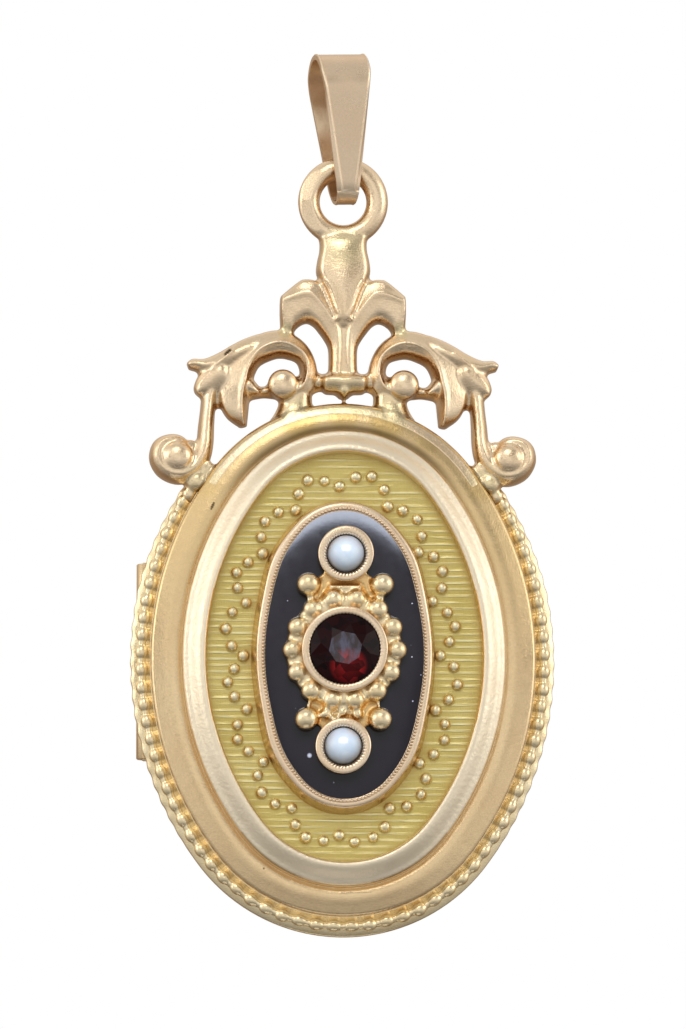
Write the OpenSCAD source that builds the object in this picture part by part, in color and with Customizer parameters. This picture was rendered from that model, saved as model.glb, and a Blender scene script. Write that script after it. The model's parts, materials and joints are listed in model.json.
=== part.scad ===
// Photo locket: an oval gold case hung from a tapered strap, all sizes in mm.
// Front faces -Y, X to the right, Z up. The origin is the inside top of the
// strap, where the chain runs. The case opens on a barrel hinge at its left.

/* [Strap] */
// Sheet thickness of the strap
strap_t = 0.38; // [0.3:0.01:0.5]
// Width of the strap over the chain
strap_top_w = 3.0; // [2:0.05:4]
// Width of the strap where it passes through the ring
strap_low_w = 1.15; // [0.8:0.05:2]
// Inside radius of the bend over the chain
strap_top_r = 1.574; // [1:0.001:2.2]
// Inside radius of the small lower bend
strap_low_r = 0.75; // [0.7:0.01:0.8]
// Distance between the centres of the two bends
strap_len = 5.29; // [4:0.01:8]
// Turn of the strap about the upright, as it hangs
strap_turn = 10; // [-30:1:30]

/* [Ring] */
// Radius of the ring, to the middle of its wire
ring_r = 1.885; // [1.6:0.005:2.4]
// Half the thickness of the ring wire
ring_wire = 0.59; // [0.4:0.01:0.7]
// Height of the ring wire over the lower bend of the strap
ring_rise = 0.98; // [0.9:0.01:1.2]

/* [Case] */
// Drop from the chain seat to the middle of the oval
case_drop = 33.22; // [30:0.01:36]
// Distance of the crest plane in front of the parting line
crest_plane = 0.9; // [0.4:0.05:1.4]
// Lift of the crest on the case
crest_up = 0.09; // [0:0.01:0.3]
// Sheet thickness of the case
shell_t = 0.4; // [0.3:0.05:0.6]
// Outward reach of the rim under the beads
rim_out = 6.97; // [6.6:0.01:7.1]
// Height on the oval where the rim ends under the crest
rim_top = 10.4; // [9.5:0.1:11]
// Outward reach of the back half
back_out = 5.8; // [5.6:0.05:5.9]
// Depth of the back half behind the parting line
back_depth = 2.3; // [1.6:0.05:3]
// Gap left at the parting line on each side
part_gap = 0.05; // [0.03:0.01:0.1]

/* [Bead border] */
// Number of beads around the rim
bead_count = 62; // [40:1:70]
// Outward reach of the line of bead centres
bead_line = 6.38; // [6.2:0.01:6.6]
// Radius of one rim bead
bead_r = 0.46; // [0.3:0.01:0.5]
// Spacing of the rim beads
bead_pitch = 0.965; // [0.9:0.005:1.1]

/* [Panel] */
// Thickness of the green-gold panel
panel_t = 0.35; // [0.25:0.05:0.6]
// Height of the face of the panel over the parting line
panel_face = 2.0; // [1.8:0.05:2.6]
// Radius of one granule of the scallops
granule_r = 0.275; // [0.2:0.005:0.35]
// Drop of the scallop pattern on the panel
scallop_drop = 0.1; // [0:0.01:0.3]

/* [Stones] */
// Inward set of the onyx behind its collet rim
onyx_set = 0.12; // [0.1:0.01:0.3]
// Lift of the gem mount above the middle of the oval
gem_up = 0.18; // [0:0.01:0.3]
// Distance of each pearl from the garnet
pearl_off = 5.33; // [5:0.01:5.6]
// Radius of the half pearls
pearl_r = 1.12; // [0.9:0.01:1.3]
// Radius of the garnet at its girdle
garnet_r = 2.08; // [1.8:0.01:2.3]
// Number of beads around the garnet
halo_count = 14; // [10:1:20]

/* [Hinge] */
// Distance of the hinge line left of the middle
hinge_x = 10.75; // [10.5:0.01:11]
// Distance of the hinge line behind the parting line
hinge_v = 0.55; // [0.5:0.01:0.8]
// Outer radius of the knuckles
knuckle_r = 0.55; // [0.45:0.01:0.6]
// Radius of the hinge pin
pin_r = 0.25; // [0.2:0.01:0.35]
// Half the length of the whole barrel
barrel_half = 5.4; // [4.5:0.05:6]

/* [Hidden] */
$fn = 96;
// Colours of the metals and stones
rose = [0.85, 0.66, 0.48];
yellow = [0.86, 0.70, 0.42];
green_gold = [0.74, 0.68, 0.36];
black = [0.05, 0.05, 0.07];
wine = [0.35, 0.04, 0.09];
pearly = [0.93, 0.92, 0.90];
// The oval is drawn with four arcs whose centres sit on a 3-4-5 triangle.
turn = 36.8699;
side_c = 7.15;
end_c = 5.3625;
end_r = 2.9425;
side_r = 11.88;
// Strap: half angle of the V between the two bends
lean = asin((strap_top_r - strap_low_r) / strap_len);
low_z = -strap_top_r - strap_len;
ring_z = low_z + ring_rise - ring_r;
// Hinge: joints between the three knuckles
joint_y = 1.8;
bore_r = pin_r + 0.05;

// Heights of the front half over the parting line
dome_base = 0.42;
dome_r = 1.3;
dome_d = 4.55;
mould_d = 3.52;
mould_v = 2.3;
mould_r = 0.66;

// Case frame: x right, y up from the middle of the oval, z forward from the
// parting line
module case_frame() {
  translate([0, crest_plane, -case_drop]) rotate([90, 0, 0]) children();
}

// A profile carried round the oval; its x is the outward offset from the
// collet line
module oval_sweep() {
  for (s = [0, 180]) rotate([0, 0, s]) {
    translate([-side_c, 0, 0]) rotate_extrude(angle = 2 * turn, start = -turn)
      translate([side_r, 0]) children();
    translate([0, end_c, 0]) rotate_extrude(angle = 90 - turn, start = turn)
      translate([end_r, 0]) children();
    translate([0, end_c, 0]) rotate_extrude(angle = 90 - turn, start = 90)
      translate([end_r, 0]) children();
  }
}

// A plate with the oval outline at offset d, from height a to height b
module oval_plate(d, a, b) {
  core_r = end_r - 1.6;
  core_w = side_r - side_c - 1.6;
  translate([0, 0, a]) {
    oval_sweep() translate([-2.4, 0]) square([d + 2.4, b - a]);
    linear_extrude(b - a) polygon([
      [0.8 * core_r, end_c + 0.6 * core_r],
      [core_w, 0],
      [0.8 * core_r, -end_c - 0.6 * core_r],
      [0, -end_c - core_r],
      [-0.8 * core_r, -end_c - 0.6 * core_r],
      [-core_w, 0],
      [-0.8 * core_r, end_c + 0.6 * core_r],
      [0, end_c + core_r]]);
  }
}

// Point on the oval at offset d, s mm along it from the bottom, right positive
function oval_at(s, d) =
  let (a = abs(s),
       l1 = (end_r + d) * (90 - turn) * PI / 180,
       l2 = (side_r + d) * 2 * turn * PI / 180,
       g = s < 0 ? -1 : 1)
  a < l1
  ? let (t = -90 + a / (end_r + d) * 180 / PI)
    [g * (end_r + d) * cos(t), -end_c + (end_r + d) * sin(t)]
  : a < l1 + l2
  ? let (t = -turn + (a - l1) / (side_r + d) * 180 / PI)
    [g * (-side_c + (side_r + d) * cos(t)), (side_r + d) * sin(t)]
  : let (t = turn + (a - l1 - l2) / (end_r + d) * 180 / PI)
    [g * (end_r + d) * cos(t), end_c + (end_r + d) * sin(t)];

// Strap: one sheet bent over the chain and under the ring wire
module strap_loop(off) {
  n = [cos(lean), sin(lean)];
  top = strap_top_r + off;
  low = strap_low_r + off;
  translate([0, -strap_top_r, 0]) cylinder(h = 5, r = top);
  translate([0, low_z, 0]) cylinder(h = 5, r = low);
  a = top - 0.002;
  b = low - 0.002;
  linear_extrude(5) polygon([
    [a * n[0], -strap_top_r - a * n[1]],
    [b * n[0], low_z - b * n[1]],
    [-b * n[0], low_z - b * n[1]],
    [-a * n[0], -strap_top_r - a * n[1]]]);
}

module bail() {
  color(rose) rotate([0, 0, strap_turn]) intersection() {
    rotate([90, 0, 90]) translate([0, 0, -2.5]) difference() {
      strap_loop(strap_t);
      strap_loop(0);
    }
    rotate([90, 0, 0]) translate([0, 0, -4]) linear_extrude(8) polygon([
      [-strap_top_w / 2, 1],
      [strap_top_w / 2, 1],
      [strap_top_w / 2, -0.6],
      [strap_low_w / 2, low_z - 1.17],
      [-strap_low_w / 2, low_z - 1.17],
      [-strap_top_w / 2, -0.6]]);
  }
}

// Crest
// Each run of metal is a row of cuts across it: one edge, the far edge, height.
petal = [
  // edge x, edge y, far edge x, far edge y, height
  [-0.20, 20.35, -0.40, 18.05, 1.60],
  [-1.20, 20.90, -1.10, 18.45, 1.65],
  [-2.30, 21.00, -1.75, 19.00, 1.75],
  [-3.05, 20.55, -2.25, 18.95, 1.70],
  [-3.45, 20.00, -2.55, 18.60, 1.60],
  [-3.50, 19.10, -2.70, 18.30, 1.45],
  [-3.45, 18.05, -2.70, 17.90, 1.30]];
scroll = [
  // edge x, edge y, far edge x, far edge y, height
  [-2.85, 14.30, -3.00, 14.75, 1.30],
  [-2.25, 14.35, -2.60, 14.90, 1.35],
  [-1.65, 14.85, -2.40, 15.40, 1.45],
  [-1.40, 15.70, -2.35, 15.95, 1.50],
  [-1.60, 16.65, -2.55, 16.40, 1.55],
  [-2.05, 17.45, -2.95, 16.55, 1.60],
  [-2.80, 18.00, -3.50, 16.65, 1.60],
  [-3.65, 18.20, -4.05, 16.50, 1.65],
  [-4.60, 18.00, -4.55, 16.25, 1.65],
  [-5.45, 17.55, -4.80, 15.85, 1.70],
  [-6.15, 16.90, -4.95, 15.45, 1.75],
  [-6.65, 16.00, -5.00, 15.05, 1.80],
  [-6.85, 15.05, -5.10, 14.70, 1.80],
  [-6.80, 14.15, -5.15, 14.15, 1.75],
  [-6.40, 13.35, -5.20, 13.50, 1.65],
  [-5.65, 12.85, -5.25, 12.95, 1.40]];
leaf_high = [
  // edge x, edge y, far edge x, far edge y, height
  [-4.70, 17.95, -4.80, 16.70, 1.55],
  [-5.45, 17.65, -5.35, 16.45, 1.55],
  [-6.15, 17.30, -6.05, 16.15, 1.50],
  [-6.85, 16.85, -6.75, 15.85, 1.50],
  [-7.65, 16.50, -7.45, 15.75, 1.40],
  [-8.30, 16.50, -7.95, 15.90, 1.30],
  [-8.60, 16.30, -8.50, 16.05, 1.20]];
leaf_low = [
  // edge x, edge y, far edge x, far edge y, height
  [-6.95, 16.70, -6.35, 15.00, 1.60],
  [-7.55, 16.15, -6.90, 14.75, 1.50],
  [-7.95, 15.55, -7.40, 14.55, 1.40],
  [-8.15, 15.00, -7.75, 14.50, 1.30],
  [-8.10, 14.70, -7.95, 14.55, 1.20]];
leg = [
  // edge x, edge y, far edge x, far edge y, height
  [-7.65, 15.15, -6.75, 15.00, 1.35],
  [-7.75, 14.45, -7.00, 14.35, 1.35],
  [-7.80, 13.70, -7.10, 13.70, 1.40],
  [-7.90, 12.90, -7.15, 12.90, 1.40],
  [-8.00, 12.00, -7.20, 11.90, 1.45],
  [-8.25, 11.40, -7.35, 11.10, 1.50],
  [-8.55, 10.95, -7.70, 10.40, 1.55],
  [-8.85, 10.65, -8.30, 9.90, 1.60],
  [-9.15, 10.60, -9.00, 9.70, 1.65],
  [-9.50, 10.70, -9.70, 9.85, 1.65],
  [-9.75, 10.95, -10.25, 10.25, 1.65],
  [-9.85, 11.30, -10.60, 10.95, 1.65],
  [-9.75, 11.60, -10.50, 11.70, 1.60],
  [-9.55, 11.75, -10.10, 12.15, 1.60],
  [-9.20, 11.75, -9.45, 12.35, 1.55],
  [-8.95, 11.65, -8.90, 12.25, 1.50],
  [-8.80, 11.40, -8.45, 11.90, 1.40]];
foot = [
  // edge x, edge y, far edge x, far edge y, height
  [-3.25, 14.70, -1.80, 14.90, 1.35],
  [-3.50, 14.05, -1.75, 14.15, 1.35],
  [-3.70, 13.55, -1.65, 13.65, 1.40],
  [-3.90, 13.00, -1.40, 13.15, 1.45]];
bridge_ball = [
  // edge x, edge y, far edge x, far edge y, height
  [-3.95, 15.15, -3.95, 14.55, 1.20],
  [-5.15, 15.00, -5.15, 14.40, 1.20]];
bridge_in = [
  // edge x, edge y, far edge x, far edge y, height
  [-1.65, 15.65, -1.65, 15.05, 1.25],
  [-0.65, 15.65, -0.65, 15.05, 1.25]];
neck = [
  // edge x, edge y, far edge x, far edge y, height
  [-1.40, 23.35, 1.40, 23.35, 1.50],
  [-1.35, 22.80, 1.30, 22.80, 1.65],
  [-1.40, 22.15, 1.40, 22.15, 1.80],
  [-1.45, 21.55, 1.45, 21.55, 1.90],
  [-1.30, 20.95, 1.30, 20.95, 1.95],
  [-0.85, 20.30, 0.90, 20.30, 2.00],
  [-0.50, 19.70, 0.60, 19.70, 2.00],
  [-0.10, 19.20, 0.30, 19.20, 1.90]];
stem = [
  // edge x, edge y, far edge x, far edge y, height
  [-0.70, 19.55, 0.80, 19.55, 1.60],
  [-0.65, 17.55, 0.75, 17.55, 1.55],
  [-0.70, 16.35, 0.80, 16.35, 1.50],
  [-0.80, 15.45, 0.90, 15.45, 1.50]];
collar = [
  // edge x, edge y, far edge x, far edge y, height
  [-1.10, 15.40, -1.10, 15.00, 1.50],
  [-0.85, 15.60, -0.85, 14.80, 1.65],
  [0.05, 15.65, 0.05, 14.70, 1.75],
  [1.00, 15.60, 1.00, 14.80, 1.65],
  [1.25, 15.40, 1.25, 15.00, 1.50]];
drop = [
  // edge x, edge y, far edge x, far edge y, height
  [-0.50, 15.15, 0.55, 15.15, 1.75],
  [-0.40, 14.70, 0.50, 14.70, 1.70],
  [-0.15, 14.30, 0.25, 14.30, 1.50]];
// Height of the flat underside of the crest
crest_back = 0.2;

// Rounded cut across a run: share of the width, share of the height
cut = [
  // across, up
  [0.04, 0.00],
  [0.00, 0.25],
  [0.00, 0.55],
  [0.09, 0.85],
  [0.28, 1.00],
  [0.72, 1.00],
  [0.91, 0.85],
  [1.00, 0.55],
  [1.00, 0.25],
  [0.96, 0.00]];

module run(list) {
  n = len(list);
  m = len(cut);
  points = [for (r = list) for (c = cut)
    [r[0] + c[0] * (r[2] - r[0]), r[1] + c[0] * (r[3] - r[1]),
     crest_back + c[1] * (r[4] - crest_back)]];
  along = [list[1][0] - list[0][0], list[1][1] - list[0][1]];
  side = [list[0][2] - list[0][0], list[0][3] - list[0][1]];
  left = along[0] * side[1] - along[1] * side[0] > 0;
  skin = [for (i = [0 : n - 2]) for (j = [0 : m - 1])
    let (k = (j + 1) % m, a = i * m, b = a + m)
    left ? [a + j, a + k, b + k, b + j] : [a + j, b + j, b + k, a + k]];
  near = [for (j = [0 : m - 1]) left ? m - 1 - j : j];
  far = [for (j = [0 : m - 1]) (n - 1) * m + (left ? j : m - 1 - j)];
  polyhedron(points, concat([near], skin, [far]));
}

module knob(x, y, r, top) {
  translate([x, y, crest_back]) {
    cylinder(h = top - crest_back - 0.55 * r, r = r, $fn = 16);
    translate([0, 0, top - crest_back - 0.55 * r]) {
      cylinder(h = 0.35 * r, r1 = r, r2 = 0.78 * r, $fn = 16);
      translate([0, 0, 0.35 * r]) cylinder(h = 0.2 * r, r1 = 0.78 * r, r2 = 0.35 * r, $fn = 16);
    }
  }
}

module crest() {
  // the pierced crest is one casting
  translate([0, crest_up, 0]) resize([0, 0, 0]) {
    for (s = [0, 1]) mirror([s, 0, 0]) {
      run(petal);
      run(scroll);
      run(leaf_high);
      run(leaf_low);
      run(leg);
      run(foot);
      run(bridge_ball);
      run(bridge_in);
      knob(-3.38, 15.07, 0.76, 1.85);
      knob(-9.00, 11.13, 0.62, 1.90);
    }
    run(neck);
    run(stem);
    run(collar);
    run(drop);
  }
}

// Front half
// Outer line of the moulding and dome, with the sheet behind it hollow
module front_profile() {
  difference() {
    union() {
      // foot of the dome wall
      translate([4.9, part_gap]) square([dome_d + dome_r - 4.9, dome_base - part_gap]);
      // dome, a quarter round
      intersection() {
        translate([dome_d, dome_base]) circle(dome_r);
        translate([dome_d - 0.2, dome_base - 0.1]) square([2, 2]);
      }
      translate([2.86, 1.3]) square([dome_d - 2.86, 0.42]);
      // raised moulding round the panel
      translate([mould_d, mould_v]) circle(mould_r);
      translate([mould_d - mould_r, 1.3]) square([2 * mould_r, mould_v - 1.3]);
      // ledge the panel rests on
      translate([2.3, panel_face - panel_t - 0.33]) square([0.8, 0.3]);
    }
    // hollow of the dome
    intersection() {
      translate([dome_d, dome_base]) circle(dome_r - shell_t);
      translate([dome_d, 0]) square([2, 2]);
    }
    translate([3.1, 0]) square([dome_d - 3.09, dome_base + dome_r - shell_t]);
    // hollow of the moulding
    translate([mould_d, mould_v]) circle(mould_r - 0.34);
    translate([mould_d - 0.32, 1.2]) square([0.64, mould_v - 1.2]);
  }
}

// Rim carried round the dome below the crest, and its beads
module rim() {
  intersection() {
    oval_sweep() translate([5.6, part_gap]) square([rim_out - 5.6, dome_base - part_gap]);
    translate([-20, -20, -1]) cube([40, 20 + rim_top, 3]);
  }
}

module bead_row() {
  for (i = [0 : bead_count - 1]) {
    p = oval_at((i - bead_count / 2) * bead_pitch, bead_line);
    translate([p[0], p[1], dome_base + 0.16]) sphere(bead_r);
  }
}

module knuckle(y0, y1) {
  translate([-hinge_x, y0, -hinge_v]) rotate([-90, 0, 0]) difference() {
    cylinder(h = y1 - y0, r = knuckle_r);
    translate([0, 0, -1]) cylinder(h = y1 - y0 + 2, r = bore_r);
  }
}

module front_case() {
  color(rose) {
    case_frame() {
      oval_sweep() front_profile();
      rim();
      bead_row();
      for (s = [0, 1]) mirror([0, s, 0]) {
        knuckle(joint_y + part_gap, barrel_half);
        // solder strip between knuckle and rim
        translate([-hinge_x - 0.25, joint_y + part_gap, -0.25])
          cube([0.5, barrel_half - joint_y - part_gap, 0.4]);
      }
      // the crest stays out of the space for the lip of the back half
      difference() {
        crest();
        oval_plate(5.41, 0, 0.7);
      }
    }
    translate([0, 0, ring_z]) rotate([90, 0, 0]) rotate_extrude()
      translate([ring_r, 0]) circle(ring_wire);
  }
}

// Panel
// Cusp and outer beads of the scallops, one quarter: across, up
scallop = [
  // x, y
  [0.00, 9.68],
  [1.15, 10.00],
  [2.08, 9.86],
  [2.63, 9.15],
  [2.80, 8.24],
  [3.70, 8.07],
  [4.48, 7.48],
  [4.70, 6.60],
  [4.46, 5.72],
  [5.33, 5.24],
  [5.88, 4.60],
  [5.85, 3.76],
  [5.37, 2.94],
  [6.08, 2.38],
  [6.43, 1.47],
  [6.13, 0.65],
  [5.57, 0.00]];

module panel() {
  color(green_gold) case_frame() {
    difference() {
      union() {
        oval_plate(2.83, panel_face - panel_t, panel_face);
        // collet round the onyx
        oval_sweep() polygon([
          [0.00, panel_face - 0.1],
          [0.30, panel_face - 0.1],
          [0.16, 3.42],
          [0.05, 3.52],
          [-0.38, 3.60],
          [-0.38, 3.50],
          [0.00, 3.40]]);
        for (p = scallop)
          for (s = p[0] == 0 ? [1] : [-1, 1]) for (t = p[1] == 0 ? [1] : [-1, 1])
            translate([s * p[0], t * p[1] - scallop_drop, panel_face + 0.12])
              sphere(granule_r);
      }
      translate([0, gem_up, 1]) cylinder(h = 3, r = 0.62);
    }
  }
}

module onyx_plaque() {
  color(black) case_frame() difference() {
    union() {
      oval_sweep() polygon([
        [-1.2, panel_face + 0.03],
        [-onyx_set + 0.08, panel_face + 0.03],
        [-onyx_set + 0.08, 3.37],
        [-0.44, 3.46],
        [-1.2, 3.52]]);
      oval_plate(-1.0, panel_face + 0.03, 3.52);
    }
    translate([0, gem_up, 1]) cylinder(h = 5, r = 0.62);
  }
}

module gem_mount() {
  color(yellow) case_frame() translate([0, gem_up, 0]) difference() {
    union() {
      translate([0, 0, 3.64]) {
        cylinder(h = 0.36, r = 2.95);
        for (s = [-1, 1]) {
          translate([0, s * pearl_off, 0]) cylinder(h = 0.36, r = 1.42);
          translate([-1.2, min(0, s * pearl_off), 0]) cube([2.4, pearl_off, 0.36]);
          translate([-2.2, min(0, s * 3.9), 0]) cube([4.4, 3.9, 0.36]);
        }
      }
      // collet of the garnet
      translate([0, 0, 3.64]) cylinder(h = 1.01, r1 = 2.3, r2 = 2.38);
      // collets of the pearls
      for (s = [-1, 1]) translate([0, s * pearl_off, 3.64])
        cylinder(h = 0.8, r1 = 1.45, r2 = 1.53);
      // beads round the garnet
      for (i = [0 : halo_count - 1]) rotate([0, 0, (i + 0.5) * 360 / halo_count])
        translate([2.82, 0, 4.12]) sphere(0.46);
      // corner balls
      for (s = [-1, 1]) for (t = [-1, 1])
        translate([s * 2.03, t * 3.72, 4.16]) sphere(0.6);
      // post through the onyx and the panel
      translate([0, 0, panel_face - panel_t]) cylinder(h = 2, r = 0.55);
    }
    // seats of the three stones
    translate([0, 0, 4.0]) cylinder(h = 1, r = garnet_r + 0.04);
    for (s = [-1, 1]) translate([0, s * pearl_off, 4.0])
      cylinder(h = 1, r = pearl_r + 0.04);
  }
}

module garnet() {
  color(wine) case_frame() translate([0, gem_up, 4.03]) hull() {
    cylinder(h = 0.1, r1 = garnet_r * 0.9, r2 = garnet_r, $fn = 24);
    translate([0, 0, 0.55]) cylinder(h = 0.1, r = garnet_r, $fn = 24);
    translate([0, 0, 0.95]) rotate([0, 0, 15]) cylinder(h = 0.01, r = garnet_r * 0.78, $fn = 12);
    translate([0, 0, 1.2]) cylinder(h = 0.01, r = garnet_r * 0.5, $fn = 12);
  }
}

module half_pearl() {
  intersection() {
    sphere(pearl_r);
    translate([-2, -2, 0]) cube([4, 4, 2]);
  }
}

module pearl_upper() {
  color(pearly) case_frame() translate([0, gem_up + pearl_off, 4.03]) half_pearl();
}

module pearl_lower() {
  color(pearly) case_frame() translate([0, gem_up - pearl_off, 4.03]) half_pearl();
}

module hinge_pin() {
  color(yellow) case_frame() translate([-hinge_x, -barrel_half - 0.08, -hinge_v])
    rotate([-90, 0, 0]) cylinder(h = 2 * barrel_half + 0.16, r = pin_r);
}

// Back half
module back_profile() {
  difference() {
    union() {
      translate([4.9, -0.6]) square([back_out - 4.9, 0.6 - part_gap]);
      intersection() {
        translate([back_out - 1.75, -0.55]) circle(1.75);
        translate([back_out - 1.75, -back_depth]) square([2, back_depth - 0.55]);
      }
      translate([2.0, -back_depth]) square([back_out - 3.75, 1.0]);
    }
    intersection() {
      translate([back_out - 1.75, -0.55]) circle(1.75 - shell_t);
      translate([back_out - 1.75, -back_depth]) square([2, back_depth - 0.55]);
    }
    translate([1.0, -back_depth + shell_t]) square([back_out - 2.75, back_depth]);
    translate([4.8, -0.7]) square([0.2, 0.7]);
  }
  // lip that springs inside the front rim
  translate([5.0, -0.5]) square([0.3, 1.1]);
}

module back_case() {
  color(rose) case_frame() {
    difference() {
      union() {
        oval_sweep() back_profile();
        oval_plate(2.2, -back_depth, -back_depth + shell_t);
      }
      // notch for the barrel
      translate([-13, -barrel_half - 0.1, -1.3])
        cube([13 - hinge_x + knuckle_r + 0.1, 2 * barrel_half + 0.2, 3]);
      translate([-13, -barrel_half - 0.3, -part_gap])
        cube([4.3, 2 * barrel_half + 0.6, 3]);
    }
    // wall closing the notch
    intersection() {
      oval_plate(back_out - 0.3, -1.5, -part_gap);
      translate([-hinge_x + knuckle_r + 0.1, -barrel_half, -2])
        cube([0.35, 2 * barrel_half, 2]);
    }
    knuckle(-joint_y + part_gap, joint_y - part_gap);
    // solder strip between knuckle and wall
    translate([-hinge_x + bore_r + 0.1, -joint_y + part_gap, -0.9])
      cube([0.4, 2 * joint_y - 2 * part_gap, 0.6]);
  }
}

// Piece to show
bail();
front_case();
panel();
onyx_plaque();
gem_mount();
garnet();
pearl_upper();
pearl_lower();
hinge_pin();
back_case();
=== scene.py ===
import json
from math import asin, cos, pi, radians, sin, sqrt

import bmesh
import bpy
import numpy as np
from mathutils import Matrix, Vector


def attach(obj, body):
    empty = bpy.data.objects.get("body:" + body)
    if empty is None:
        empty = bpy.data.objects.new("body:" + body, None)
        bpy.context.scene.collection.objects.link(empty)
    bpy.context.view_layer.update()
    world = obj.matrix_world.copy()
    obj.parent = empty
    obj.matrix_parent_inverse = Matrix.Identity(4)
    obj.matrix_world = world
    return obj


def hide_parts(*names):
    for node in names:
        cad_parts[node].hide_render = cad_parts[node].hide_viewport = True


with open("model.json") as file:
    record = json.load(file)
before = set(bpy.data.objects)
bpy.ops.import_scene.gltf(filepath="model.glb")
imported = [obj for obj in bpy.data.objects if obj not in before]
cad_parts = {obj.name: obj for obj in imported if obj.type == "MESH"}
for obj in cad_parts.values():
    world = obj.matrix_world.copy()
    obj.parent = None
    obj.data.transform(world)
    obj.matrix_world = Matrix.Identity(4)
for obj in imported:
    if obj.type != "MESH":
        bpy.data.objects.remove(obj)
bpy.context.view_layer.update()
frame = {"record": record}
rng = np.random.default_rng(7)

# Case frame in mm: x right, y up from the middle of the oval, v forward from the parting line
MM, DROP, PLANE = 0.001, 33.22, 0.9
GEM_UP, PEARL_OFF = 0.18, 5.29
RIM, PITCH = 6.38, 0.965
# The oval: its side and end arcs, with centre, radius, and the angle where they meet
SIDE_C, SIDE_R, END_C, END_R, TURN = 7.15, 11.88, 5.3625, 2.9425, 36.8699
# The hinge: place of its line, radius of knuckles and bore, half the barrel
HINGE_X, HINGE_V, KNUCKLE_R, BORE_R, BARREL = -10.75, -0.55, 0.55, 0.3, 5.4
# The ring: middle radius, wire radius and height above the middle of the oval
RING_R, WIRE_R, RING_UP = 1.885, 0.60, 25.451
BODY = {n: b for b, group in frame["record"]["behaviour"]["bodies"].items() for n in group}


# Camera and light
def camera():
    """The photograph's view: nearly square to the front, from a little below and to the left."""
    aim = Vector((0.0, 0.0, -0.02516))
    az, el, far = radians(-3.0), radians(-7.5), 0.6
    back = Vector((sin(az) * cos(el), -cos(az) * cos(el), sin(el)))
    data = bpy.data.cameras.new("camera")
    data.lens, data.sensor_width = 36 * far / 0.0566, 36
    data.clip_start, data.clip_end = 0.02, 20
    cam = bpy.data.objects.new("camera", data)
    cam.location = aim + back * far
    cam.rotation_mode = "QUATERNION"
    cam.rotation_quaternion = (-back).to_track_quat("-Z", "Y")
    bpy.context.scene.collection.objects.link(cam)
    bpy.context.scene.camera = cam


def feed(tree, node, inputs):
    """Sets inputs of a node to constants or to other nodes' output sockets."""
    for key, value in inputs.items():
        if isinstance(value, bpy.types.NodeSocket):
            tree.links.new(value, node.inputs[key])
        else:
            node.inputs[key].default_value = value


def add(tree, kind, inputs=None, **settings):
    """A shader node."""
    n = tree.nodes.new("ShaderNode" + kind)
    for key, value in settings.items():
        setattr(n, key, value)
    feed(tree, n, inputs or {})
    return n


def ramp(tree, value, stops):
    """A colour ramp; each stop is a place and a grey level or a colour."""
    n = add(tree, "ValToRGB", {0: value})
    r = n.color_ramp
    while len(r.elements) < len(stops):
        r.elements.new(0.5)
    for e, (pos, tone) in zip(r.elements, stops):
        e.position = pos
        e.color = (*tone, 1) if isinstance(tone, tuple) else (tone, tone, tone, 1)
    return n.outputs[0]


def calc(tree, kind, a, b=0.0, clamp=False):
    return add(tree, "Math", {0: a, 1: b}, operation=kind, use_clamp=clamp).outputs[0]


def times(tree, a, b, plus=0.0):
    return add(tree, "Math", {0: a, 1: b, 2: plus}, operation="MULTIPLY_ADD").outputs[0]


def mix(tree, share, a, b):
    return add(tree, "Mix", {0: share, 6: a, 7: b}, data_type="RGBA").outputs[2]


def between(tree, a, b):
    return add(tree, "VectorMath", {0: a, 1: b}, operation="DISTANCE").outputs["Value"]


def channels(tree, tone):
    return add(tree, "SeparateColor", {0: tone}).outputs


def fades(tree, value, near, far):
    """1 up to near, falling to 0 at far."""
    return ramp(tree, value, [(near, 1.0), (far, 0.0)])


def grows(tree, value, near, far):
    """0 up to near, rising to 1 at far."""
    return ramp(tree, value, [(near, 0.0), (far, 1.0)])


# Soft patches in the tent: direction, brightness, reach
PATCHES = [
    ((0.34, -0.82, 0.46), 0.40, 0.34), ((-0.90, -0.36, 0.25), 2.2, 0.36), ((0.90, -0.36, 0.25), 2.1, 0.36),
    ((-0.72, -0.68, 0.10), 0.35, 0.22), ((0.70, -0.70, 0.10), 0.45, 0.20),
    ((0.50, -0.52, 0.69), 0.45, 0.24), ((-0.35, -0.93, -0.08), 0.60, 0.20),
    ((0.42, -0.90, -0.02), 0.60, 0.20), ((-0.12, -0.77, 0.63), 2.6, 0.34)]


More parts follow.
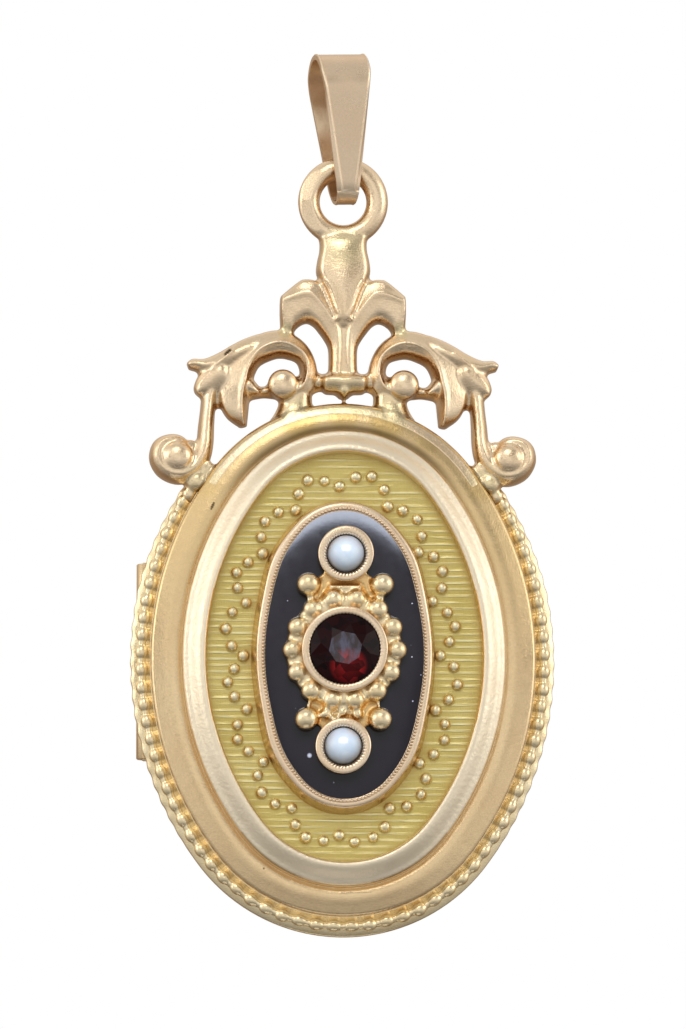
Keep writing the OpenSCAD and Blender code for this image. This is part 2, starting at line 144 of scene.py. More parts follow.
def studio():
    """A light tent: bright round the level, duller above, dim below, warm behind, with soft patches."""
    scene = bpy.context.scene
    scene.view_settings.view_transform = "Standard"
    world = bpy.data.worlds.new("tent")
    scene.world = world
    world.use_nodes = True
    t = world.node_tree
    t.nodes.clear()
    way = add(t, "TexCoord").outputs["Generated"]
    x, y, z = add(t, "SeparateXYZ", {0: way}).outputs
    z01 = times(t, z, 0.5, 0.5)
    front = ramp(t, z01, [(0.0, 0.18), (0.09, 0.24), (0.18, 0.42), (0.30, 0.55), (0.42, 0.84), (0.50, 0.92),
                          (0.60, 0.90), (0.68, 0.60), (0.80, 0.48), (0.92, 0.58), (1.0, 0.70)])
    side = ramp(t, z01, [(0.0, 0.24), (0.15, 0.36), (0.30, 0.55), (0.42, 0.85), (0.50, 1.0), (0.70, 1.1),
                         (0.86, 0.8), (1.0, 0.75)])
    back = ramp(t, z01, [(0.0, (0.16, 0.11, 0.07)), (0.5, (0.40, 0.31, 0.23)), (0.75, (0.70, 0.61, 0.51)),
                         (1.0, (1.0, 0.95, 0.9))])
    tone = mix(t, grows(t, calc(t, "ABSOLUTE", x), 0.22, 0.62), front, side)
    tone = mix(t, grows(t, y, 0.0, 0.5), tone, back)
    for at, lit, reach in PATCHES:
        patch = fades(t, between(t, way, at), 0.5 * reach, reach)
        tone = mix(t, patch, tone, (lit, 0.98 * lit, 0.95 * lit, 1))
    seen = add(t, "LightPath").outputs["Is Camera Ray"]
    tone = mix(t, seen, tone, (1, 1, 1, 1))
    glow = add(t, "Background", {"Color": tone, "Strength": 1.0})
    add(t, "OutputWorld", {0: glow.outputs[0]})
    mesh = bpy.data.meshes.new("floor")
    corners = [(x, y, -1.2) for x, y in ((-0.4, -0.4), (0.4, -0.4), (0.4, 0.4), (-0.4, 0.4))]
    mesh.from_pydata(corners, [], [(0, 1, 2, 3)])
    floor = bpy.data.objects.new("floor", mesh)
    scene.collection.objects.link(floor)
    mat = bpy.data.materials.new("floor_white")
    mat.use_nodes = True
    grain = add(mat.node_tree, "TexNoise", {"Scale": 900.0})
    shader = mat.node_tree.nodes["Principled BSDF"]
    tone = mix(mat.node_tree, grain.outputs[0], (0.78, 0.78, 0.78, 1), (0.84, 0.84, 0.84, 1))
    feed(mat.node_tree, shader, {"Base Color": tone, "Roughness": 0.9})
    mesh.materials.append(mat)


def window(stones):
    """A bluish softbox ahead and above, which only the polished stones catch."""
    data = bpy.data.lights.new("window", "AREA")
    data.shape, data.size, data.size_y = "RECTANGLE", 0.60, 0.36
    data.energy, data.color = 15.0, (0.78, 0.84, 1.0)
    lamp = bpy.data.objects.new("window", data)
    bpy.context.scene.collection.objects.link(lamp)
    lamp.location = (-0.01, -0.70, 0.385)
    lamp.rotation_mode = "QUATERNION"
    lamp.rotation_quaternion = (lamp.location - Vector((0, 0, -0.03))).to_track_quat("Z", "Y")
    group = bpy.data.collections.new("window_receivers")
    for o in stones:
        group.objects.link(o)
    lamp.light_linking.receiver_collection = group


# Materials
# Colours: tarnish that also serves as painted shade, a brown stain that also serves as painted shade in
# corners, and a pale satin tone that is partly a painted sheen
TARNISH_AND_SHADE, STAIN_AND_SHADE, SATIN_AND_SHEEN = (0.05, 0.028, 0.012, 1), (0.33, 0.17, 0.055, 1), (0.98, 0.86, 0.66, 1)


def start(name):
    """A new material, its node tree and shader, and the place on the surface in mm."""
    mat = bpy.data.materials.new(name)
    mat.use_nodes = True
    t = mat.node_tree
    where = add(t, "TexCoord").outputs["Object"]
    where = add(t, "VectorMath", {0: where, "Scale": 1000.0}, operation="SCALE").outputs[0]
    return mat, t, t.nodes["Principled BSDF"], where


def noise(t, where, scale, detail=3.0, stretch=(1, 1, 1)):
    place = add(t, "VectorMath", {0: where, 1: stretch}, operation="MULTIPLY").outputs[0]
    return add(t, "TexNoise", {"Vector": place, "Scale": scale, "Detail": detail}).outputs[0]


def spots(t, where, rows):
    """Strength of small round marks; rows are x, y, v and radius in the case frame."""
    total = None
    for x, y, v, r in rows:
        mark = fades(t, between(t, where, (x, PLANE - v, y - DROP)), 0.5 * r, r)
        total = mark if total is None else calc(t, "MAXIMUM", total, mark)
    return total


def gold(name, light, deep, rough=0.24, solder=(0.88, 0.75, 0.46), grime_and_shade=0.85, bump=0.25,
         lines=False, wobble=0.0, reach=0.0005, cuts=(), walls=0.0):
    """Worn gold: drifting tone, grain, hairlines, tarnish with painted shade in the corners and yellower
    solder.

    The attribute marks holds solder in red (on the dome also a painted reflection of the crest), tarnish
    and painted shade in green, satin and painted sheen in blue and pierced walls in alpha."""
    mat, t, shader, where = start(name)
    tone = mix(t, grows(t, noise(t, where, 0.5), 0.3, 0.7), (*light, 1), (*deep, 1))
    fine = noise(t, where, 9.0, 4.0)
    tone = mix(t, ramp(t, fine, [(0.35, 0.12), (0.6, 0.0)]), tone, (*(0.55 * np.array(deep)), 1))
    stored = add(t, "Attribute", attribute_name="marks")
    marks = channels(t, stored.outputs["Color"])
    tone = mix(t, marks[0], tone, (*solder, 1))
    # painted shade: where ambient occlusion finds corners and creases, the tone turns to the brown stain,
    # shade and tarnish together
    near = add(t, "AmbientOcclusion", {"Distance": reach}, samples=6).outputs["AO"]
    crease_shade = times(t, fades(t, near, 0.25, 0.72), grime_and_shade)
    crease_shade = times(t, crease_shade, ramp(t, noise(t, where, 2.2), [(0.25, 0.7), (0.6, 1.0)]))
    tone = mix(t, crease_shade, tone, STAIN_AND_SHADE)
    # the green mark: tarnish, the dark seam and nicks, and painted shade in the grooves and low on the
    # moulding
    tone = mix(t, marks[1], tone, TARNISH_AND_SHADE)
    if walls:
        # painted shade and reflection: the walls of the pierced openings turn brown, shade and reflected
        # gold inside the holes, with tarnish where the polishing wheel does not reach
        facing = add(t, "TexCoord").outputs["Normal"]
        facing = calc(t, "ABSOLUTE", add(t, "SeparateXYZ", {0: facing}).outputs[1])
        steep = times(t, fades(t, facing, 0.20, 0.62), walls)
        steep = times(t, steep, stored.outputs["Alpha"])
        tone = mix(t, steep, tone, (0.40, 0.22, 0.08, 1))
    if cuts:
        tone = mix(t, times(t, spots(t, where, cuts), 0.85), tone, TARNISH_AND_SHADE)
    # hairlines from wear, upright and level
    upright, level = (noise(t, where, 3.0, 2.0, way) for way in ((9, 9, 0.6), (0.8, 8, 8)))
    hair = times(t, upright, level)
    wear = grows(t, noise(t, where, 0.9), 0.35, 0.7)
    dull = times(t, wear, 0.10, rough - 0.03)
    dull = calc(t, "ADD", dull, times(t, marks[1], 0.3), clamp=True)
    relief = calc(t, "ADD", times(t, fine, 0.5), hair)
    relief = times(t, noise(t, where, 1.6, 2.0), wobble, relief)
    rubbed = times(t, noise(t, where, 5.0, 4.0), marks[2])
    relief = times(t, rubbed, 2.5, relief)
    if lines:
        relief, tone = turned_lines(t, where, relief, tone, near)
    # satin bands: rougher, and paler as a painted sheen
    tone = mix(t, times(t, marks[2], 0.85), tone, SATIN_AND_SHEEN)
    dull = times(t, marks[2], 0.16, dull)
    rise = add(t, "Bump", {"Height": relief, "Strength": bump, "Distance": 0.00004}).outputs[0]
    feed(t, shader, {"Base Color": tone, "Roughness": dull, "Metallic": 1.0, "Normal": rise})
    return mat


def turned_lines(t, where, relief, tone, near):
    """Level engine-turned cuts, broken here and there, their ridges painted paler as a highlight, fading
    out next to walls and granules.
    """
    pitch = 0.355
    drift = noise(t, where, 0.8, 1.0)
    z = add(t, "SeparateXYZ", {0: where}).outputs[2]
    z = times(t, drift, 0.06, z)
    wave = calc(t, "SINE", times(t, z, 2 * pi / pitch))
    broken = ramp(t, noise(t, where, 1.7, 3.0, (0.2, 1, 1.6)), [(0.38, 0.08), (0.60, 1.0)])
    broken = times(t, broken, grows(t, near, 0.50, 0.85))
    ridge = times(t, grows(t, wave, 0.0, 0.65), broken)
    relief = times(t, ridge, 1.8, relief)
    # painted highlight: the ridges are turned pale yellow
    return relief, mix(t, times(t, ridge, 0.8), tone, (1.0, 0.92, 0.52, 1))


def onyx_stone(name):
    """Black stone: a haze of fine scratches and a few specks of dust."""
    mat, t, shader, where = start(name)
    cells = add(t, "TexVoronoi", {"Vector": where, "Scale": 1.9, "Randomness": 1.0})
    speck = fades(t, cells.outputs["Distance"], 0.05, 0.10)
    kept = grows(t, channels(t, cells.outputs["Color"])[0], 0.72, 0.9)
    dust = times(t, speck, kept)
    dust = calc(t, "MAXIMUM", dust, spots(t, where, ((-1.97, -5.57, 3.6, 0.16), (-2.9, 1.62, 3.6, 0.10))))
    tone = mix(t, noise(t, where, 0.6), (0.003, 0.002, 0.003, 1), (0.008, 0.006, 0.009, 1))
    tone = mix(t, times(t, dust, 0.55), tone, (0.55, 0.56, 0.62, 1))
    dull = times(t, noise(t, where, 2.0, 4.0), 0.09, 0.09)
    grain = noise(t, where, 5.0, 3.0)
    rise = add(t, "Bump", {"Height": grain, "Strength": 0.05, "Distance": 0.00002}).outputs[0]
    feed(t, shader, {"Base Color": tone, "Roughness": dull, "Normal": rise, "IOR": 1.55,
                     "Specular IOR Level": 0.30})
    return mat


def garnet_stone(name, shine=0.06, haze=0.0):
    """Dark red stone: painted flashes of the back facets under the crown, and a painted red glow low down.
    """
    mat, t, shader, where = start(name)
    # painted reflection: flashes of the back facets in dark patches
    cells = add(t, "TexVoronoi", {"Vector": where, "Scale": 1.5}, distance="MANHATTAN")
    flash = channels(t, cells.outputs["Color"])[0]
    tone = mix(t, grows(t, flash, 0.35, 0.9), (0.005, 0.001, 0.0015, 1), (0.016, 0.0015, 0.002, 1))
    # painted glow: red light through the stone, strongest low down
    reach = between(t, where, (0.1, -4.2, -34.05))
    glow = times(t, fades(t, times(t, reach, 0.1), 0.03, 0.11), flash)
    tone = mix(t, glow, tone, (0.60, 0.020, 0.022, 1))
    # painted bluish reflection in streaks, used on the table facet
    streak = grows(t, noise(t, where, 1.2, 3.0, (2.2, 1, 1.0)), 0.42, 0.66)
    tone = mix(t, times(t, streak, haze), tone, (0.10, 0.10, 0.17, 1))
    dull = times(t, noise(t, where, 4.0), 0.04, 0.02)
    feed(t, shader, {"Base Color": tone, "Roughness": dull, "IOR": 1.76, "Specular IOR Level": shine})
    return mat


def pearl_stone(name):
    """Half pearl: silvery in the middle, darker and pinker round the rim as painted shade, cloudy."""
    mat, t, shader, where = start(name)
    # painted shade: the tone darkens toward the rim as the surface turns away
    rim = add(t, "LayerWeight", {"Blend": 0.4}).outputs["Facing"]
    tone = mix(t, grows(t, rim, 0.05, 0.75), (0.36, 0.395, 0.405, 1), (0.13, 0.10, 0.08, 1))
    tone = mix(t, ramp(t, noise(t, where, 1.3), [(0.42, 0.0), (0.64, 0.6)]), tone, (0.28, 0.325, 0.37, 1))
    dull = times(t, noise(t, where, 3.0), 0.1, 0.2)
    feed(t, shader, {"Base Color": tone, "Roughness": dull, "Subsurface Weight": 0.15,
                     "Subsurface Scale": 0.0003, "Coat Weight": 0.5, "Coat Roughness": 0.15})
    return mat


# Shapes
def oval_path(n):
    """Centres and outward directions of n points round the four-arc oval, and their arc radii."""
    side, end = round(n * 0.298), round(n * 0.202)
    rows = []
    for (cx, cy), r, a0, a1, k in (((-SIDE_C, 0), SIDE_R, -TURN, TURN, side),
                                   ((0, END_C), END_R, TURN, 180 - TURN, end),
                                   ((SIDE_C, 0), SIDE_R, 180 - TURN, 180 + TURN, side),
                                   ((0, -END_C), END_R, 180 + TURN, 360 - TURN, end)):
        for a in np.radians(np.linspace(a0, a1, k, endpoint=False)):
            rows.append((cx, cy, cos(a), sin(a), r))
    return np.array(rows)


def oval_at(s, d):
    """Point on the oval at offset d, s mm along it from the bottom, right positive."""
    turn, side_r, end_r = radians(TURN), SIDE_R + d, END_R + d
    first, second = end_r * (pi / 2 - turn), side_r * 2 * turn
    a, g = abs(s), (-1 if s < 0 else 1)
    if a < first:
        t, c, r = -pi / 2 + a / end_r, (0, -END_C), end_r
    elif a < first + second:
        t, c, r = -turn + (a - first) / side_r, (-SIDE_C, 0), side_r
    else:
        t, c, r = turn + (a - first - second) / end_r, (0, END_C), end_r
    return g * (c[0] + r * cos(t)), c[1] + r * sin(t), g * cos(t), sin(t)


def oval_offset(p):
    """Offset of each point from the oval."""
    x, y = np.abs(p[:, 0]), np.abs(p[:, 1])
    side = np.hypot(x + SIDE_C, y) - SIDE_R
    end = np.hypot(x, y - END_C) - END_R
    return np.where((y * SIDE_C < END_C * (x + SIDE_C)), side, end)


def level_row(path, d, v):
    """Points round the oval at one offset and one height."""
    r = path[:, 4] + d
    x, y = path[:, 0] + r * path[:, 2], path[:, 1] + r * path[:, 3]
    return np.stack([x, y, np.full(len(path), v)], 1)


def arc(cx, cy, r, a0, a1, n):
    return [(cx + r * cos(a), cy + r * sin(a)) for a in np.radians(np.linspace(a0, a1, n))]


def turns(n):
    """n angles all the way round."""
    return np.linspace(0, 2 * pi, n, endpoint=False)


def grid_faces(n, m, loop_n, loop_m, base=0):
    """Faces of n rows of m points, closed either way or not."""
    out = []
    for i in range(n if loop_n else n - 1):
        for j in range(m if loop_m else m - 1):
            a, b = i * m + j, i * m + (j + 1) % m
            c, e = ((i + 1) % n) * m + (j + 1) % m, ((i + 1) % n) * m + j
            out.append((base + a, base + b, base + c, base + e))
    return out


def capped(n, m):
    """Faces of n closed rows of m points, with both end rows filled."""
    return grid_faces(n, m, False, True) + [tuple(range(m)), tuple((n - 1) * m + j for j in range(m))]


def sweep(profile, n, shift=None):
    """A closed outline of (offset, height) carried round the oval."""
    path, outline = oval_path(n), np.array(profile, float)
    d = np.repeat(outline[None, :, 0], len(path), 0)
    v = np.repeat(outline[None, :, 1], len(path), 0)
    if shift is not None:
        d, v = shift(path, d, v)
    r = path[:, 4:5] + d
    pts = np.stack([path[:, 0:1] + r * path[:, 2:3], path[:, 1:2] + r * path[:, 3:4], v], 2)
    return pts.reshape(-1, 3), grid_faces(len(path), outline.shape[0], True, True)


def disc(outer, inner):
    """A closed oval plate: outer rows of (offset, height), then rows of (share, height) to the middle."""
    path = oval_path(240)
    rows = [level_row(path, d, v) for d, v in outer]
    for last, steps in ((rows[-1], inner[0]), (rows[0], inner[1])):
        done = []
        for share, v in steps:
            p = last * share
            p[:, 2] = v
            done.append(p)
        rows = rows + done if steps is inner[0] else done[::-1] + rows
    return np.concatenate(rows), capped(len(rows), len(path))


def spin(profile, x=0.0, y=0.0, n=64, mill=None):
    """A closed outline of (radius, height) turned about the forward axis at x, y."""
    outline = np.array(profile, float)
    a = turns(n)
    r = np.repeat(outline[None, :, 0], n, 0)
    v = np.repeat(outline[None, :, 1], n, 0)
    if mill is not None:
        r, v = mill(a[:, None], r, v)
    pts = np.stack([x + r * np.cos(a)[:, None], y + r * np.sin(a)[:, None], v], 2)
    return pts.reshape(-1, 3), grid_faces(n, outline.shape[0], True, True)


def balls(rows, seg, ring):
    """Many balls as one mesh; rows are x, y, v, radius, height share."""
    pts, faces = [], []
    u = turns(seg)
    w = np.linspace(0, pi, ring + 1)[1:-1]
    one = [(0, 0, 1)] + [(sin(q) * cos(p), sin(q) * sin(p), cos(q))
                         for q in w for p in u] + [(0, 0, -1)]
    one = np.array(one)
    top = [(0, 1 + j, 1 + (j + 1) % seg) for j in range(seg)]
    low = len(one) - 1
    bottom = [(low, low - seg + (j + 1) % seg, low - seg + j) for j in range(seg)]
    body = grid_faces(ring - 1, seg, False, True, 1)
    for i, (x, y, v, r, share) in enumerate(rows):
        pts.append(one * (r, r, r * share) + (x, y, v))
        base = i * len(one)
        faces += [tuple(base + k for k in f) for f in top + body + bottom]
    return np.concatenate(pts), faces


def join(*parts):
    """Several parts as one list of points and faces."""
    pts, faces, base = [], [], 0
    for p, f in parts:
        pts.append(np.asarray(p, float))
        faces += [tuple(base + k for k in q) for q in f]
        base += len(p)
    return np.concatenate(pts), faces


def mirrored(part):
    return part[0] * (-1, 1, 1), [q[::-1] for q in part[1]]


def slab(outline, v0, v1):
    """A plate with the given outline of (x, y) points, its front edge bevelled."""
    bevel, o = 0.06, np.array(outline, float)
    mid = o.mean(0)
    inner = o + (mid - o) / np.linalg.norm(mid - o, axis=1)[:, None] * bevel
    rows = [(o, v0), (o, v1 - bevel), (inner, v1)]
    pts = np.concatenate([np.column_stack([p, np.full(len(p), v)]) for p, v in rows])
    return pts, capped(len(rows), len(o))


def casting(part, voxel, fillet, share):
    """Fuses the runs into one skin and fills their corners; share is that of the faces kept."""
    mesh = bpy.data.meshes.new("casting")
    mesh.from_pydata(part[0].tolist(), [], part[1])
    o = bpy.data.objects.new("casting", mesh)
    bpy.context.scene.collection.objects.link(o)
    for kind, value in (("REMESH", voxel), ("DISPLACE", fillet), ("REMESH", voxel), ("DISPLACE", -fillet),
                        ("REMESH", voxel)):
        mod = o.modifiers.new(kind, kind)
        if kind == "REMESH":
            mod.mode, mod.voxel_size = "VOXEL", value
        else:
            mod.strength, mod.mid_level = value, 0.0
    mod = o.modifiers.new("even", "SMOOTH")
    mod.factor, mod.iterations = 0.5, 2
    mod = o.modifiers.new("thin", "DECIMATE")
    mod.ratio = share
    got = bpy.data.meshes.new_from_object(o.evaluated_get(bpy.context.evaluated_depsgraph_get()))
    pts = np.zeros(len(got.vertices) * 3)
    got.vertices.foreach_get("co", pts)
    faces = [tuple(f.vertices) for f in got.polygons]
    bpy.data.objects.remove(o)
    bpy.data.meshes.remove(got)
    return pts.reshape(-1, 3), faces


def piece(name, part, material, node, smooth=45, marks=None, case=True):
    """Makes the mesh, its points in the case frame or in the part's own, and ties it to the CAD."""
    pts, faces = part
    pts = np.asarray(pts, float)
    if marks is not None:
        marks = marks(pts)
    if case:
        pts = np.stack([pts[:, 0], PLANE - pts[:, 2], pts[:, 1] - DROP], 1)
    mesh = bpy.data.meshes.new(name)
    mesh.from_pydata((pts * MM).tolist(), [], faces)
    if marks is not None:
        attribute = mesh.attributes.new("marks", "FLOAT_COLOR", "POINT")
        tone = np.zeros((len(pts), 4), np.float32)
        tone[:, :marks.shape[1]] = np.clip(marks, 0, 1)
        attribute.data.foreach_set("color", tone.ravel())
    bm = bmesh.new()
    bm.from_mesh(mesh)
    bmesh.ops.remove_doubles(bm, verts=bm.verts, dist=2e-7)
    bmesh.ops.recalc_face_normals(bm, faces=bm.faces)
    bm.to_mesh(mesh)
    bm.free()
    mesh.shade_smooth()
    if smooth < 180:
        mesh.set_sharp_from_angle(angle=radians(smooth))
    mesh.materials.append(material)
    o = bpy.data.objects.new(name, mesh)
    bpy.context.scene.collection.objects.link(o)
    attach(o, BODY[node])
    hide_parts(node)
    return o


def both(rows):
    """The given marks and their mirror images."""
    return [(s * x, *rest) for x, *rest in rows for s in (1, -1)]


def blot(pts, rows):
    """Strength of round marks at each point; rows are x, y, radius, strength."""
    out = np.zeros(len(pts))
    for x, y, r, k in rows:
        q = np.hypot(pts[:, 0] - x, pts[:, 1] - y) / r
        out = np.maximum(out, k * np.clip(1.6 - 1.6 * q, 0, 1))
    return out


# Bail
LOW_BEND = -6.864
FACE_END = LOW_BEND - 0.5
ACROSS = 14  # points to each row across the strap


def turned(a, b, degrees):
    """Coordinates a and b turned about the origin."""
    c, s = cos(radians(degrees)), sin(radians(degrees))
    return a * c - b * s, b * c + a * s


def strap():
    """The strap: one sheet bent round, with a flat face in front between two filed slopes."""
    top_r, low_r, t = 1.574, 0.75, 0.38
    high = 0.09 - top_r
    half_w, taper, shoulder, drop = 1.39, 0.85, -0.6, 7.434
    lean = asin((top_r - low_r) / (high - LOW_BEND))
    path, dense, pts = [], [], []
    for r, middle, a0, a1, n in ((top_r + t / 2, high, -lean, pi + lean, 49),
                                 (low_r + t / 2, LOW_BEND, pi + lean, 2 * pi - lean, 33)):
        path += [(r * cos(a), middle + r * sin(a), cos(a), sin(a)) for a in np.linspace(a0, a1, n)]
    for p, q in zip(path, path[1:] + path[:1]):
        p, q = np.array(p), np.array(q)
        k = max(1, int(np.hypot(*(q - p)[:2]) / 0.2))
        dense += [p + (q - p) * i / k for i in range(k)]
    for y, z, ny, nz in dense:
        zz = z + nz * t / 2
        w = half_w - taper * max(shoulder - zz, 0) / drop
        low = min(max((-0.8 - zz) / (-0.8 - LOW_BEND), 0), 1.05)
        filed = ny < 0 and zz > FACE_END
        face = w - (0.05 + 0.19 * low if filed else 0.05)
        line = 1.20 if ny < 0 and abs(zz - FACE_END) < 0.06 else 1
        side = 0.30 if ny < 0 else 0.8
        half = [(w, -0.5), (w, side), (face + 0.05, 0.90), (face, 1.22), (face - 0.05, 1.20)]
        half.append((face - 0.10, line))
        for x, n in half + [(0, line)] + [(-x, n) for x, n in half[::-1]] + [(0, -0.5)]:
            worn = 1 - 0.5 * min(max((LOW_BEND - zz) / 0.5, 0), 1) * (n > 0)
            o = n * worn * t / 2
            pts.append((x, y + ny * o, z + nz * o))
    pts = np.array(pts)
    # it leans to the left in its own plane, and is turned to show its left side
    leaning, turn, aside = 2.7, 10, 0.07
    x, z = turned(pts[:, 0], pts[:, 2] - LOW_BEND, leaning)
    x, y = turned(x, pts[:, 1], turn)
    return np.stack([x + aside, y, z + LOW_BEND], 1), grid_faces(len(dense), ACROSS, True, True)


def strap_marks(p):
    """Rubbed bright along the borders of the face, and a painted highlight inside the back leg."""
    column = np.arange(len(p)) % ACROSS
    front, high = p[:, 1] < 0, p[:, 2]
    sides = np.isin(column, (3, 9)) & front & (high > FACE_END - 0.1)
    foot = (column > 3) & (column < 9) & front & (np.abs(high - FACE_END) < 0.06)
    inner = np.isin(column, (12, 13)) & (p[:, 1] > 0.3)
    # painted highlight: the inside of the back leg is made paler, standing in for the light it reflects
    glow = inner * np.clip(1.3 - np.abs(high + 3.1) / 0.9, 0, 0.9)
    return np.column_stack([0 * high, 0 * high, np.maximum(sides | foot, glow)])


# Crest
# Rows across each run: edge x, edge y, far edge x, far edge y, height, and the share of the width at
# the ridge where it is not a half
PETAL = [
    (0.1, 15.6, -0.82, 15.6, 1.52), (0.1, 16.5, -0.78, 16.5, 1.62, 0.48),
    (0.1, 17.4, -0.82, 17.25, 1.7, 0.45), (0.02, 18.4, -1.05, 17.72, 1.76, 0.38),
    (-0.28, 19.2, -1.32, 18.1, 1.8, 0.38), (-0.72, 20.0, -1.58, 18.42, 1.82, 0.4),
    (-1.2, 20.68, -1.78, 18.56, 1.8, 0.4), (-1.7, 21.0, -1.92, 18.62, 1.78, 0.36),
    (-2.2, 21.02, -2.06, 18.62, 1.76, 0.35), (-2.32, 20.98, -2.12, 18.6, 1.76, 0.34),
    (-2.64, 20.76, -2.28, 18.54, 1.74, 0.3), (-3.33, 20.18, -2.52, 18.36, 1.7, 0.18),
    (-3.45, 20.02, -2.6, 18.26, 1.68, 0.13), (-3.48, 19.25, -2.7, 18.1, 1.6, 0.15),
    (-3.45, 18.45, -2.74, 17.95, 1.4, 0.3), (-3.43, 18.05, -2.74, 17.85, 1.3, 0.45)]
SCROLL = [
    (-3.1, 14.2, -3.15, 14.75, 1.35, 0.7), (-2.35, 14.25, -2.75, 14.9, 1.45, 0.7),
    (-1.65, 14.8, -2.45, 15.35, 1.55, 0.64), (-1.4, 15.7, -2.38, 15.95, 1.62, 0.56),
    (-1.58, 16.65, -2.55, 16.42, 1.66, 0.48), (-2.05, 17.45, -2.95, 16.6, 1.68, 0.46),
    (-2.8, 18.0, -3.5, 16.68, 1.7, 0.46), (-3.65, 18.2, -4.05, 16.52, 1.72, 0.48),
    (-4.6, 18.0, -4.55, 16.25, 1.72, 0.54), (-5.45, 17.55, -4.8, 15.85, 1.74, 0.62),
    (-6.15, 16.9, -4.92, 15.45, 1.78, 0.68), (-6.65, 16.0, -4.98, 15.05, 1.82, 0.72),
    (-6.85, 15.05, -5.08, 14.7, 1.82, 0.72), (-6.8, 14.15, -5.15, 14.15, 1.76, 0.7),
    (-6.4, 13.35, -5.22, 13.45, 1.66, 0.66), (-5.65, 12.78, -5.28, 12.86, 1.4, 0.55)]
SPUR = [
    (-5.05, 15.6, -5.6, 14.7, 1.66), (-4.72, 15.2, -5.15, 14.45, 1.6), (-4.5, 14.9, -4.75, 14.42, 1.42)]
V_LINE = [
    (-1.22, 20.85, -1.12, 20.85, 2.08), (-0.97, 20.42, -0.87, 20.42, 2.12),
    (-0.74, 19.82, -0.64, 19.82, 2.12), (-0.54, 19.25, -0.44, 19.28, 2.08),
    (-0.38, 18.92, -0.28, 19.0, 2.02), (-0.42, 18.72, -0.3, 18.68, 1.98),
    (-0.56, 18.74, -0.52, 18.62, 1.9)]
LEAF_HIGH = [
    (-4.7, 17.98, -4.8, 16.7, 1.6, 0.6), (-5.45, 17.7, -5.35, 16.45, 1.68, 0.55),
    (-6.15, 17.34, -6.05, 16.1, 1.7), (-6.85, 16.92, -6.75, 15.8, 1.66),
    (-7.65, 16.58, -7.45, 15.7, 1.52, 0.45), (-8.3, 16.58, -7.95, 15.86, 1.38, 0.4),
    (-8.62, 16.36, -8.5, 16.02, 1.24, 0.4)]
VEIN = [
    (-6.05, 17.05, -6.2, 16.8, 1.78), (-6.75, 16.45, -6.92, 16.22, 1.74),
    (-7.4, 15.75, -7.6, 15.55, 1.62), (-7.85, 15.15, -8.05, 15.0, 1.45)]
LEAF_LOW = [
    (-6.4, 16.75, -5.8, 15.15, 1.25), (-6.95, 16.7, -6.35, 15.0, 1.66), (-7.58, 16.2, -6.9, 14.7, 1.6),
    (-8.02, 15.58, -7.4, 14.5, 1.5), (-8.22, 15.02, -7.75, 14.44, 1.36), (-8.16, 14.7, -7.95, 14.5, 1.22)]
LEG = [
    (-7.68, 15.15, -6.72, 15.0, 1.4), (-7.8, 14.45, -6.95, 14.35, 1.42), (-7.87, 13.7, -7.03, 13.7, 1.46),
    (-7.97, 12.9, -7.08, 12.9, 1.48), (-8.07, 12.0, -7.12, 11.88, 1.52),
    (-8.3, 11.44, -7.28, 11.05, 1.56), (-8.58, 11.0, -7.66, 10.32, 1.6),
    (-8.87, 10.72, -8.28, 9.82, 1.65), (-9.15, 10.66, -9.0, 9.62, 1.7), (-9.48, 10.74, -9.73, 9.79, 1.7),
    (-9.72, 10.97, -10.31, 10.22, 1.7), (-9.82, 11.3, -10.66, 10.95, 1.7),
    (-9.72, 11.58, -10.56, 11.73, 1.65), (-9.52, 11.72, -10.14, 12.2, 1.62),
    (-9.2, 11.72, -9.46, 12.4, 1.56), (-8.97, 11.62, -8.88, 12.3, 1.5), (-8.82, 11.38, -8.43, 11.93, 1.4)]
FOOT = [
    (-3.45, 14.8, -1.7, 14.95, 1.4), (-3.56, 14.05, -1.68, 14.15, 1.42),
    (-3.78, 13.55, -1.58, 13.65, 1.5), (-4.05, 13.15, -1.4, 13.28, 1.58),
    (-4.35, 12.8, -1.15, 13.0, 1.62), (-4.55, 12.5, -0.95, 12.75, 1.56), (-4.6, 12.2, -0.9, 12.5, 1.4)]
BRIDGE_BALL = [
    (-3.85, 15.22, -3.85, 14.42, 1.25), (-4.4, 15.1, -4.4, 14.46, 1.2), (-5.25, 15.15, -5.25, 14.3, 1.3)]
BRIDGE_IN = [
    (-1.95, 16.15, -1.95, 14.55, 1.25), (-1.25, 15.85, -1.25, 14.85, 1.16), (-0.6, 15.9, -0.6, 14.8, 1.3)]
NECK = [
    (-1.05, 23.95, 1.09, 23.95, 1.15), (-1.36, 23.62, 1.4, 23.62, 1.46), (-1.28, 23.1, 1.32, 23.1, 1.75),
    (-1.3, 22.6, 1.34, 22.6, 1.86), (-1.42, 22.05, 1.46, 22.05, 1.9), (-1.47, 21.45, 1.51, 21.45, 1.96),
    (-1.28, 20.95, 1.34, 20.95, 2.01), (-0.98, 20.42, 1.02, 20.42, 2.04),
    (-0.74, 19.82, 0.8, 19.82, 2.04), (-0.54, 19.25, 0.64, 19.25, 2.0), (-0.4, 18.82, 0.5, 18.82, 1.94),
    (-0.18, 18.52, 0.28, 18.52, 1.8)]
STEM = [
    (-0.4, 18.9, 0.48, 18.9, 1.72), (-0.42, 17.6, 0.5, 17.6, 1.6), (-0.5, 16.5, 0.6, 16.5, 1.54),
    (-0.66, 15.45, 0.76, 15.45, 1.48)]
